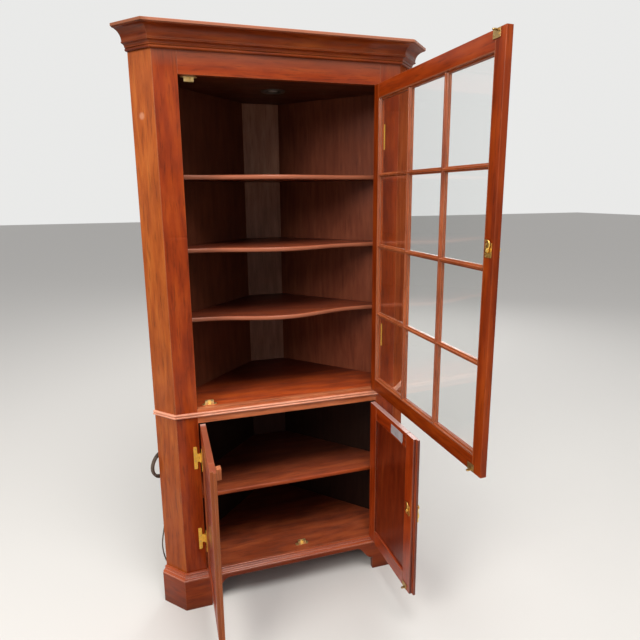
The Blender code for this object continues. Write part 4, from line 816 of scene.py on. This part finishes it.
t = np.linspace(0, 1, 33)
ogee = np.stack([foot_inner - 0.076 * t, 0.056 + 0.052 * (t - np.sin(2 * np.pi * t) / (2 * np.pi))], axis=1)
board_ends = [(-half_face, 0), (-half_face, plinth_top), (half_face, plinth_top), (half_face, 0)]
bracket = np.vstack([board_ends, [(foot_inner, 0)], ogee, ogee[::-1] * (-1, 1), [(-foot_inner, 0)]])
x, z = bracket.T
at_mitre = np.sign(x) * (np.abs(np.abs(x) - half_face) < 1e-6)
front_board = np.stack([xyz(x + at_mitre * (mitre * deep - hair), -deep, z) for deep in (planted, base_out)])
plinth_parts = [in_wood(grid(front_board), 55, ACROSS, UP)]
for (start, end, along), seed in ((runs[0], 56), (runs[2], 58)):
    plan = [(x + dx * deep, y + dy * deep) for ((x, y), (dx, dy)), depths in
            ((start, (planted, base_out)), (end, (base_out, planted))) for deep in depths]
    plinth_parts.append(in_wood(prism(plan, 0.0, plinth_top), seed, along, UP))
piece("plinth_boards", glued(*plinth_parts), outside, "plinth", edge=0.0009)

# The glazed door: 20 mm cherry stiles and rails, mortised, with one pane in a rebate behind a thin lip. A moulded
# grille of cherry, mitred and coped, is pressed in behind the glass and can be lifted out for cleaning.

door_low, door_high, hung, free = 0.814, 1.954, 0.348, -0.348
stile, rail, lip, rebate, cope = 0.045, 0.056, 0.007, 0.008, 0.0077
sight_left, sight_right, sight_low, sight_high = free + stile, hung - stile, door_low + rail, door_high - rail


def door_stile(edge, towards, r=0.0025):
    """Plan of a glazed-door stile: its outer edge rounded, with a 7 mm lip in front of an 8 mm rebate."""
    sight, body = edge + towards * stile, edge + towards * (stile - rebate)
    a = np.radians(np.linspace(0, 90, 5))
    rounded = np.stack([edge + towards * r * (1 - np.sin(a)), r * (1 - np.cos(a))], axis=1)
    back = rounded * (1, -1) + (0, stock)
    return np.vstack([rounded[::-1], [(sight, 0), (sight, lip), (body, lip), (body, stock)], back])


def door_rail(edge, towards, r=0.0022):
    """A rail's section carried along x: only the part behind the lip at the coped ends, the whole between."""
    sight, body = edge + towards * rail, edge + towards * (rail - rebate)
    nosing = [(0.0, r), (r * 0.3, r * 0.3), (r, 0), (stock - r, 0), (stock - r * 0.3, r * 0.3), (stock, r)]
    whole = [(y, edge + towards * rise) for y, rise in nosing]
    whole += [(stock, body), (lip, body), (lip, sight), (0.0, sight)]
    coped = [(max(y, lip + hair), z if abs(z - sight) > 1e-6 else body) for y, z in whole]
    left, right = sight_left + hair, sight_right - hair
    stations = ((sight_left - cope, coped), (left, coped), (left, whole), (right, whole), (right, coped),
                (sight_right + cope, coped))
    return grid(np.array([[(x, y, z) for y, z in ring] for x, ring in stations]))


for word, edge, towards, seed in (("hinge", hung, -1, 61), ("latch", free, 1, 62)):
    shape = prism(door_stile(edge, towards), door_low, door_high)
    one_board(f"glazed_{word}_stile", shape, seed, door_wood, body="glazed_door")
for word, edge, towards, seed in (("top", door_high, -1, 63), ("foot", door_low, 1, 64)):
    one_board(f"glazed_{word}_rail", door_rail(edge, towards), seed, door_wood, ACROSS, UP, "glazed_door")

glass = plain_material("window_glass", (0.97, 0.985, 0.98), 0.01)
tree = glass.node_tree
smears = mottle(tree, 9, 5, 0.7)
feed(glass, {"Transmission Weight": 1.0, "IOR": 1.5, "Roughness": ramp(tree, smears, (0.55, 0.0), (0.90, 0.03))})
clear = add(tree, "BsdfTransparent", {"Color": (0.93, 0.95, 0.94, 1)})
in_shadow = add(tree, "LightPath", out="Is Shadow Ray")
either = add(tree, "MixShader", {0: in_shadow, 1: tree.nodes["Principled BSDF"].outputs[0], 2: clear})
fill(tree, tree.nodes["Material Output"], {"Surface": either})
pane_front, pane_back, let_in = 0.0074, 0.0104, 0.0074
pane_shape = box((sight_left - let_in, pane_front, sight_low - let_in),
                 (sight_right + let_in, pane_back, sight_high + let_in))
piece("pane", pane_shape, glass, "door_glass", "glazed_door", edge=0.0004, slot="glass")

bar_front, bar_back = 0.0108, 0.0196
bar_x = [sight_left + (sight_right - sight_left) * k / 3 for k in (1, 2)]
bar_z = [sight_low + (sight_high - sight_low) * k / 4 for k in (1, 2, 3)]


def moulded_side(low, high):
    """From the flat crown's edge: a quirk, then a quarter hollow u = u0 + (u1 - u0)(1 - cos a),
    v = v0 + (v1 - v0) sin a, down to a thin edge."""
    (u0, v0), (u1, v1) = start, end = (0.0030, high - 0.0016), (0.008, low + 0.0015)
    curve = [(u0 + (u1 - u0) * (1 - math.cos(a)), v0 + (v1 - v0) * math.sin(a))
             for a in np.linspace(0, np.pi / 2, 7)[1:-1]]
    return [(0.0024, high), (0.0030, high - 0.0006), start, *curve, end, (0.008, low)]


def bar_section(low, high):
    side = moulded_side(low, high)
    return [(-u, v) for u, v in side[::-1]] + side


def crossed_bars(upright, level, past, seed):
    """Two upright and three level bars with sections in (u, y), each running a little past the sight line."""
    return [in_wood(prism([(x + u, y) for u, y in upright], sight_low - past, sight_high + past), seed + k)
            for k, x in enumerate(bar_x)] + [
        in_wood(prism([(y, z + u) for u, y in level], sight_left - past, sight_right + past, "YZ"), seed + 3 + k,
                ACROSS, UP) for k, z in enumerate(bar_z)]


bars = crossed_bars(bar_section(bar_front + 0.0001, bar_back - 0.0002),
                    bar_section(bar_front + 0.0002, bar_back - 0.0003), 0.002, 71)
u, v = np.array([(0.0006, bar_front), (0.0006, bar_back), *moulded_side(bar_front, bar_back)]).T
border = [(sight_left - rebate, sight_low - rebate, 1, 1), (sight_right + rebate, sight_low - rebate, -1, 1),
          (sight_right + rebate, sight_high + rebate, -1, -1), (sight_left - rebate, sight_high + rebate, 1, -1)]
for k in range(4):
    along, gap = (UP if k % 2 else ACROSS), (hair / 2 if k < 2 else -hair / 2)
    rings = [xyz(x + dx * u, v, z + dz * u) + np.array(along) * shift
             for (x, z, dx, dz), shift in ((border[k], gap), (border[(k + 1) % 4], -gap))]
    bars.append(in_wood(grid(np.stack(rings)), 77 + k, along, BACK))
piece("grille", glued(*bars), bar_wood, "glazing_grille", "glazed_door", crease=28)

# The outer bars: the same pattern in front of the glass, let into the rails and stiles and flush with their lip,
# so that from inside each upright bar shows the door's whole thickness through the pane.

outer = [(-0.0080, 0.0008), (-0.0080, 0.0046), (-0.0076, 0.0052), (-0.0076, 0.0072), (0.0076, 0.0072),
         (0.0076, 0.0052), (0.0080, 0.0046), (0.0080, 0.0008), (0.0074, 0.0003), (-0.0074, 0.0003)]
outer_bars = crossed_bars(outer, [(u * 0.99, y + 0.0001) for u, y in outer], 0.0005, 171)
piece("outer_glazing_bars", glued(*outer_bars), bar_wood, body="glazed_door", crease=28)

# The lower doors: framed and panelled in cherry. Stiles run through, rails are tenoned between them, and a raised
# panel stands in the groove, flat on its inner face. The right door's lip closes over the left door's edge.

low_foot, low_head, member = 0.150, 0.755, 0.052
groove_low, groove_high = low_foot + rail, low_head - rail
panel_steps = np.array([(-0.004, 0.0137), (-0.004, 0.0062), (0.002, 0.0062), (0.012, 0.0053), (0.022, 0.0040),
                        (0.029, 0.0032), (0.0293, 0.0020), (0.0310, 0.0020)])


def stile_and_rail_door(word, hinge_plan, meeting_plan, window, seed, wood):
    """Four members and the fielded panel, whose rings step in from the groove to the raised field."""
    body = f"{word}_door"
    members = [in_wood(prism(plan, low_foot, low_head), seed + k) for k, plan in enumerate((hinge_plan, meeting_plan))]
    for k, (below, over) in enumerate(((low_foot, groove_low), (groove_high, low_head)), 2):
        board = box((window[0] + hair, 0, below), (window[1] - hair, stock, over))
        members.append(in_wood(board, seed + k, ACROSS, UP))
    piece(f"{body}_members", glued(*members), wood, f"{body}_frame", body, edge=0.0014)
    inset, depth = panel_steps[:, :1], panel_steps[:, 1:]
    side, end = np.array([(0, 0), (1, 0), (1, 1), (0, 1)]).T
    x = np.array(window)[side] + (1 - 2 * side) * inset
    z = np.array([groove_low, groove_high])[end] + (1 - 2 * end) * inset
    panel = in_wood(grid(xyz(x, depth, z)), seed + 6)
    piece(f"{body}_raised_panel", panel, panel_wood, f"{body}_panel", body, crease=12)


lip_edge, lip_root, lip_back = -0.004, 0.0065, 0.0095
near, far = lip_root + member, hung - member
stile_and_rail_door("right", [(far, 0), (hung, 0), (hung, stock), (far, stock)],
                    [(lip_edge, 0), (near, 0), (near, stock), (lip_root, stock), (lip_root, lip_back),
                     (lip_edge, lip_back)], (near, far), 81, right_deep)
left_edge, tongue_edge, tongue_front = -0.0055, 0.005, 0.0105
near, far = left_edge - member, -hung + member
stile_and_rail_door("left", [(-hung, 0), (far, 0), (far, stock), (-hung, stock)],
                    [(near, 0), (left_edge, 0), (left_edge, tongue_front), (tongue_edge, tongue_front),
                     (tongue_edge, stock), (near, stock)], (far, near), 91, left_deep)

# The stop block: a small unstained block of cherry, glued and screwed inside the left door's meeting stile.

block_wood = cherry("stop_block_wood", (0.38, 0.10, 0.035), (0.52, 0.16, 0.065), (0.66, 0.24, 0.10),
                    gloss=(0.45, 0.6), coat=0.05, spacing=0.013)
block = box((-0.045, 0.0203, 0.713), (-0.021, 0.0373, 0.751))
piece("stop_block", in_wood(block, 99), block_wood, "left_door_stop_block", "left_door", edge=0.0018,
      slot="cherry_light")

# The label: a blank slip of white paper, 88 by 36 mm, pasted high on the right door's inner face, a little lifted
# at its lower corner.

label_edge, label_foot, label_wide, label_high, paper_thick = 0.169, 0.706, 0.088, 0.036, 0.00018
u, v = np.meshgrid(np.linspace(0, 1, 45), np.linspace(0, 1, 19), indexing="ij")
lift = 0.0006 + 0.0025 * np.clip(u + (1 - v) - 1.55, 0, 1)**2 * 6 + 0.00015 * np.sin(9 * u + 5 * v)
sheet = xyz(label_edge - label_wide * u, stock + lift, label_foot + label_high * v)
# The paper's grey-lilac tone is painted shade and a painted bluish reflection on the white slip.
paper = plain_material("paper", (0.40, 0.36, 0.38), 0.75)
tree = paper.node_tree
aged = mottle(tree, 60, 4, 0.6)
feed(paper, {"Base Color": ramp(tree, aged, (0.3, (0.34, 0.30, 0.32)), (0.7, (0.46, 0.42, 0.45)))})
both_faces = np.concatenate([sheet, (sheet - (0, paper_thick, 0))[:, ::-1]], axis=1)
piece("blank_label", grid(both_faces), paper, body="right_door", slot="cherry_light")

# Hinges: pairs of brass H hinges, 89 mm tall, screwed on the faces of frame and doors. The leaves are 2 mm plate
# with nipped corners; three knuckles turn on a pin with a small ball at each end.

axis_x, axis_y, knuckle, leaf_half, barrel_half, joint_half = 0.349, -0.0045, 0.0042, 0.0445, 0.016, 0.016 / 3
plate_front, plate_back, play = -0.0023, -0.0003, 0.0002
rng = np.random.default_rng(7)


def screw(centre, normal, radius=0.0030, slot_turn=None):
    """A slotted countersunk head: P(u, v) = (u, v sqrt(1 - u^2)) r, with height dome (1 - rho^2) less the slot's
    depth where |u| is under the slot's half-width; it wraps round a flat underside. The slot stands at random
    where no turn is given."""
    half_slot = 0.15
    u = np.array([0.45, 0.75, 0.92, 1])
    u = np.concatenate([-u[::-1], [-half_slot - 0.02, -half_slot, half_slot, half_slot + 0.02], u])[:, None]
    v = np.array([-1, -0.8, -0.4, 0, 0.4, 0.8, 1]) * np.sqrt(np.maximum(1 - u**2, 0))
    rise = 0.00015 + 0.0004 * (1 - (u**2 + v**2)) - 0.00045 * (np.abs(u) <= half_slot + 0.001)
    flat = np.concatenate([xyz(u * radius, v * radius, rise), xyz(u * radius, v * radius, -0.0008)[:, ::-1]], axis=1)
    normal = np.array(normal, float)
    side = np.array((0, 0, 1.0)) if abs(normal[2]) < 0.5 else np.array((1.0, 0, 0))
    other = np.cross(normal, side)
    if slot_turn is None:
        slot_turn = rng.uniform(0, 3.1)
    c, s = math.cos(slot_turn), math.sin(slot_turn)
    return grid(flat @ np.stack([c * side + s * other, c * other - s * side, normal]) + np.array(centre))


steel_brass = brass_material("screw_brass", (0.70, 0.47, 0.17), 0.30)


def screw_set(name, heads, body="cabinet"):
    piece(name, joined(*heads), steel_brass, body=body, crease=30, slot="brass")


def hinge_leaf(side, level, reach, inner):
    """A leaf seen from the front: tall bar with nipped corners and a tongue to its own knuckles."""
    start, end, nip, clear, root = 0.011, 0.024, 0.003, 0.0052, 0.001
    outline = [(end, leaf_half - 0.001), (end - 0.001, leaf_half), (start + nip, leaf_half),
               (start + 0.0006, leaf_half - nip), (start, leaf_half - nip - 0.0016), (start, barrel_half + 0.002),
               (start - 0.002, barrel_half)]
    if inner:
        outline += [(clear, barrel_half), (clear, joint_half - play), (root, joint_half - play)]
    else:
        outline += [(root, barrel_half), (root, joint_half + play), (clear, joint_half + play)]
    outline += [(x, -z) for x, z in outline[::-1]]
    return [(side * (axis_x + reach * x), level + z) for x, z in outline]


def lathe(profile, centre, steps, axis="Z"):
    """A turned solid: P(i, k) = centre + r(i) (cos a(k), sin a(k)) + h(i) along the axis, a(k) = 2 pi k / steps."""
    radius, along = np.asarray(profile, float)[:, :1], np.asarray(profile, float)[:, 1:]
    across, beside = radius * np.cos(angles(steps)), radius * np.sin(angles(steps))
    order = {"Z": (across, beside, along), "Y": (beside, along, across), "X": (along, across, beside)}[axis]
    return grid(xyz(*order) + centre)


def knuckles(centre, spans, r=knuckle, e=0.0005):
    """Barrels of radius r with eased ends, one for each span of heights on the pin's axis."""
    return [lathe([(0, low), (r - e, low), (r, low + e), (r, high - e), (r - e, high), (0, high)], centre, 28)
            for low, high in spans]


ball_radius, pin_radius = 0.0021, 0.0014
ball = [(ball_radius * math.sin(a), 0.0175 - ball_radius * math.cos(a)) for a in np.linspace(0, np.pi, 9)]
pin_end = [(0, 0.0150), (pin_radius, 0.0150), (pin_radius, 0.0158)] + ball[2:]
for name, level, side, door in (("glazed_low", 1.030, 1, "glazed_door"), ("glazed_high", 1.778, 1, "glazed_door"),
                                ("right_low", 0.287, 1, "right_door"), ("right_high", 0.622, 1, "right_door"),
                                ("left_low", 0.287, -1, "left_door"), ("left_high", 0.622, -1, "left_door")):
    pin = (side * axis_x, axis_y, level)
    for word, reach, body in (("frame", 1, "cabinet"), ("door", -1, door)):
        inner = word == "door"
        plate = prism(hinge_leaf(side, level, reach, inner), plate_front, plate_back, "XZ")
        if inner:
            barrel = knuckles(pin, [(-0.00513, 0.00513)])
        else:
            barrel = knuckles(pin, [(0.00553, barrel_half), (-barrel_half, -0.00553)])
            barrel += [lathe([(r, up * z) for r, z in pin_end], pin, 16) for up in (1, -1)]
        piece(f"{name}_{word}_leaf", joined(plate, *barrel), brass, f"{name}_hinge_{word}_leaf", body, edge=0.0005,
              slot="brass")
        heads = [screw((side * (axis_x + reach * 0.0175), plate_front, level + z), (0, -1, 0))
                 for z in (-0.036, -0.012, 0.012, 0.036)]
        screw_set(f"{name}_{word}_screws", heads, body)

# Latches: on the glazed door and the right door. Outside, a shaped brass plate with a turned post and a hanging
# drop; the spindle goes through the stile to a hooked cam over a plain screwed plate inside.

inner_low, inner_face, plate_wide, corner_radius, small_head = 0.0203, 0.0218, 0.0135, 0.003, 0.0026
cam_low, cam_high, cam_thick, cam_wide = 0.0238, 0.0278, 0.00195, 0.003
latch_brass = brass_material("latch_brass", (0.94, 0.63, 0.17), 0.28)


def lobed(x, y, level, size=1.0):
    """An outline in the plane y, r(a) = 1 + 0.14 cos 4a - 0.06 cos 8a on an oval 27 by 56 mm."""
    a = angles(72)
    swell = (1 + 0.14 * np.cos(4 * a) - 0.06 * np.cos(8 * a)) * size
    return xyz(x + 0.0135 * swell * np.cos(a), y, level + 0.028 * swell * np.sin(a))


def directions(spine):
    """Unit tangents along a line of points."""
    tangent = np.gradient(spine, axis=0)
    return tangent / np.linalg.norm(tangent, axis=1)[:, None]


def band(centre, width, thickness, axis, steps=16):
    """A solid strip along a line C(t) in the XZ plane: C + w(t) cos(a) n(t) + h sin(a) y, with squared corners."""
    tangent = directions(centre)
    normal = np.stack([-tangent[:, 2], np.zeros(len(centre)), tangent[:, 0]], axis=1)
    c, s = (np.sign(wave) * np.abs(wave)**0.55 for wave in (np.cos(angles(steps)), np.sin(angles(steps))))
    return grid(centre[:, None] + width[:, None, None] * c[None, :, None] * normal[:, None]
                + (thickness * s)[None, :, None] * np.array(axis, float))


for door, x, level, plate_half, reach, post, drop in (
        ("glazed_door", -0.328, 1.433993, 0.019, 0.025, 0.013, 0.032),
        ("right_door", 0.032, 0.476007, 0.019, 0.029, 0.025, 0.060)):
    rings = [lobed(x, y, level, size) for size, y in
             ((1.0, -0.0003), (1.0, -0.0012), (0.93, -0.0019), (0.80, -0.0021), (0.74, -0.0017), (0.66, -0.0017),
              (0.60, -0.0023), (0.30, -0.0023))]
    piece(f"{door}_shield", grid(np.stack(rings)), latch_brass, f"{door}_escutcheon", door, crease=40, slot="brass")
    corner = [(1 - math.cos(a), 1 - math.sin(a)) for a in np.linspace(0, math.pi / 2, 5)]
    plan = [(x + sx * (plate_wide - corner_radius * (cu if sx * sz > 0 else cv)),
             level + sz * (plate_half - corner_radius * (cv if sx * sz > 0 else cu)))
            for sx, sz in ((1, 1), (-1, 1), (-1, -1), (1, -1)) for cu, cv in corner]
    piece(f"{door}_inner_plate", prism(plan, inner_low, inner_face, "XZ"), latch_brass, f"{door}_latch_plate", door,
          edge=0.0004, slot="brass")
    heads = [screw((x + sx * 0.0095, inner_face, level + sz * (plate_half - 0.0045)), (0, 1, 0), small_head)
             for sx in (-1, 1) for sz in (-1, 1)]
    screw_set(f"{door}_plate_screws", heads, door)
    turned_post = lathe([(0, cam_high + 0.0018), (0.0018, cam_high + 0.0016), (0.0030, cam_high + 0.0008),
                         (0.0060, cam_high + 0.0006), (0.0062, cam_high), (0.0062, cam_low + 0.0003),
                         (0.0058, cam_low), (0.003, cam_low), (0.003, -0.0028), (0.0058, -0.0028),
                         (0.0060, -0.0036), (0.0054, -0.0044), (0.0038, -0.0052), (0.0034, -0.0062),
                         (0.0034, 0.0052 - post), (0.0044, 0.0046 - post), (0.0062, 0.0036 - post),
                         (0.0068, 0.0022 - post), (0.0060, 0.0008 - post), (0.0036, 0.0001 - post), (0, -post)],
                        (x, 0, level), 36, "Y")
    t = np.linspace(0, 1, 49)
    centre = xyz(x - 0.34 * reach * np.sin(1.35 * np.pi * t), (cam_low + cam_high) / 2,
                 level + reach * np.sin(0.62 * np.pi * t))
    hook = band(centre, cam_wide * (1.15 - 0.45 * t) * np.where(t > 0.97, 0.8, 1), cam_thick, BACK)
    s = np.linspace(0, 1, 41)
    swell = 0.0021 + 0.0031 * np.sin(np.pi * np.clip(s - 0.30, 0, 0.56) / 0.56)**2
    swell = np.where(s > 0.86, 0.0021 + 0.0012 * np.sin(np.pi * np.clip(s - 0.86, 0, 1) / 0.14), swell)
    swell = swell + 0.0007 * np.exp(-((s - 0.30) / 0.018)**2)
    profile = np.vstack([[(0, 0.0042), (0.0020, 0.0038), (0.0034, 0.0024), (0.0042, 0.0006), (0.0040, -0.0008)],
                         np.stack([swell, -drop * s], axis=1)[2:], [(0.0012, -drop - 0.0010), (0, -drop - 0.0012)]])
    hanging = lathe(profile, (x, 0.0035 - post, level), 24)
    turn = door.replace("_door", "_turn")
    piece(f"{door}_turn_and_hook", joined(turned_post, hook, hanging), latch_brass, f"{door}_turn", turn, crease=40,
          slot="brass")

# Catches and strikes: double-ball catches of cast brass under the top board and on both decks, each with a screw
# in its ears and a sprung ball in each cheek; the doors carry a plate with a tongue that snaps between the balls.

catch_front, catch_back = 0.025, 0.041
catch_middle, ball_rise = (catch_front + catch_back) / 2, 0.00525
deck_top = 0.148
catches = ((-0.315, head_rail, -1), (-0.304, waist_over, 1), (0.040, deck_top, 1))


def stadium(half_length, half_width, steps=9):
    """Outline of a strip with round ends, in (u, w)."""
    a = np.linspace(-np.pi / 2, np.pi / 2, steps)
    end = np.stack([half_length - half_width + half_width * np.cos(a), half_width * np.sin(a)], axis=1)
    return np.vstack([end, -end])


def between(near, far):
    """Two heights counted up or down from the board that the catch stands on, the lower one first."""
    return sorted((level + up * near, level + up * far))


cast_brass = brass_material("cast_brass", (0.97, 0.74, 0.34), 0.42)
cheek = [(0.0060, 0.0018), (0.0060, 0.0146), (0.0066, 0.0153), (0.0152, 0.0153), (0.0160, 0.0145), (0.0160, 0.0018)]
for name, (x, level, up) in zip(("top_catch", "upper_deck_catch", "lower_deck_catch"), catches):
    parts = [prism(stadium(0.027, 0.008) + (x, catch_middle), *between(0.0003, 0.0022))]
    parts += [prism([(x + side * u, level + up * v) for u, v in cheek], catch_front, catch_back, "XZ")
              for side in (-1, 1)]
    web_low, web_high = between(0.0018, 0.0148)
    parts.append(box((x - 0.0062, 0.0362, web_low), (x + 0.0062, 0.0408, web_high)))
    piece(f"{name}_casting", joined(*parts), cast_brass, name, edge=0.0007, slot="brass")
    ball = [(0.003 * math.sin(a), -0.003 * math.cos(a)) for a in np.linspace(0, np.pi, 13)]
    small = [lathe(ball, (x + side * 0.0078, catch_middle, level + up * ball_rise), 24) for side in (-1, 1)]
    small += [screw((x + side * 0.0160, catch_middle, level + up * ball_rise), (side, 0, 0), 0.0024, 0.4)
              for side in (-1, 1)]
    small += [screw((x + side * 0.0213, catch_middle, level + up * 0.0022), (0, 0, up), small_head)
              for side in (-1, 1)]
    screw_set(f"{name}_balls", small)

dull = brass_material("strike_brass", (0.55, 0.37, 0.15), 0.34)
tongue_side = [(0.0042, 0.0210), (0.0042, 0.0300), (0.0036, 0.0312), (0.0036, 0.0322), (0.0022, 0.0335)]
for name, (x, level, up), body in zip(("glazed_top_strike", "glazed_foot_strike", "right_door_strike"), catches,
                                      ("glazed_door", "glazed_door", "right_door")):
    strike_foot, strike_head = between(0.003, 0.025)
    plate = box((x - 0.014, inner_low, strike_foot), (x + 0.014, inner_face, strike_head))
    plan = [(x + u, y) for u, y in tongue_side] + [(x - u, y) for u, y in tongue_side[::-1]]
    tongue = prism(plan, *between(0.0035, 0.0070))
    piece(f"{name}_plate", joined(plate, tongue), dull, name, body, edge=0.0006, slot="brass")
    heads = [screw((x + side * 0.0090, inner_face, level + up * 0.0165), (0, 1, 0), small_head) for side in (-1, 1)]
    screw_set(f"{name}_screws", heads, body)

# The light: a small canister of dark enamelled steel let into the top board, with a ribbed baffle, a frosted lamp
# and a gland for the lead, whose strain relief tapers along the first of the flex.

enamel = plain_material("dark_enamel", (0.040, 0.028, 0.020), 0.4)
tree = enamel.node_tree
orange_peel, patches = mottle(tree, 900, 2, 0.5), mottle(tree, 35, 4, 0.6)
feed(enamel, {"Base Color": ramp(tree, patches, (0.3, (0.030, 0.021, 0.015)), (0.7, (0.060, 0.045, 0.034))),
              "Roughness": ramp(tree, orange_peel, (0.3, 0.34), (0.7, 0.5)),
              "Normal": bump(tree, orange_peel, 0.0001, 0.4)})
can_rim, can_head = head_rail - 0.0033, 1.9557
ribs = [(0.0300 - 0.0008 * k + inset, can_rim + 0.0012 + 0.0018 * k + rise) for k in range(5)
        for inset, rise in ((0, 0), (0, 0.0012), (-0.0008, 0.0014))]
can = [(0, can_rim + 0.0105), (0.0262, can_rim + 0.0105), *ribs[::-1], (0.0302, can_rim + 0.0004), (0.0315, can_rim),
       (0.0440, can_rim), (0.0455, can_rim + 0.0006), (0.0460, can_rim + 0.0015), (0.0460, can_head),
       (0.0350, can_head), (0.0350, can_rim + 0.064), (0.0345, can_rim + 0.0655), (0.0335, can_rim + 0.066),
       (0.0160, can_rim + 0.066), (0.0150, can_rim + 0.0652), (0, can_rim + 0.0652)]
gland_shape = lathe([(0, -0.031), (0.005, -0.031), (0.005, -0.0375), (0.0058, -0.0380), (0.0058, -0.0408),
                     (0.005, -0.0413), (0.0046, -0.0436), (0.0040, -0.0440), (0, -0.0440)],
                    (0, lamp_back, gland[2]), 24, "X")
can_shape = lathe(can, (0, lamp_back, 0), 56)
piece("light_canister", joined(can_shape, gland_shape), enamel, "light_can", crease=30, slot="bronze")
frost = plain_material("frosted_lamp", (0.62, 0.60, 0.55), 0.45)
tree = frost.node_tree
cloud = mottle(tree, 80, 3, 0.6)
feed(frost, {"Base Color": ramp(tree, cloud, (0.3, (0.50, 0.48, 0.44)), (0.7, (0.66, 0.64, 0.60)))})
dome = [(0, can_rim + 0.0100), (0.0245, can_rim + 0.0100),
        *((0.0245 * math.cos(a), can_rim + 0.0095 - 0.0060 * math.sin(a)) for a in np.linspace(0, np.pi / 2, 12)[:-1]),
        (0, can_rim + 0.0035)]
piece("frosted_lamp", lathe(dome, (0, lamp_back, 0), 40), frost, crease=40, slot="bronze")

relief_long, relief_radius, relief_taper = 0.024, 0.0043, 0.0013
along = np.linspace(0, relief_long, 49)
spine = read_along(line[:6] - (0, front, 0), along)
ribbed = np.where((along * 1000 % 3 < 1.2) & (along < 0.020), 0.0003, 0.0)
sleeve = (relief_radius - relief_taper * along / relief_long + ribbed)[:, None, None]
tangent = directions(spine)
side_way = np.cross(tangent, UP)
side_way /= np.linalg.norm(side_way, axis=1)[:, None]
over_way = np.cross(side_way, tangent)
a = angles(20)[None, :, None]
relief = spine[:, None] + sleeve * (np.cos(a) * side_way[:, None] + np.sin(a) * over_way[:, None])
piece("strain_relief", grid(relief), flex, crease=50, slot="cord")
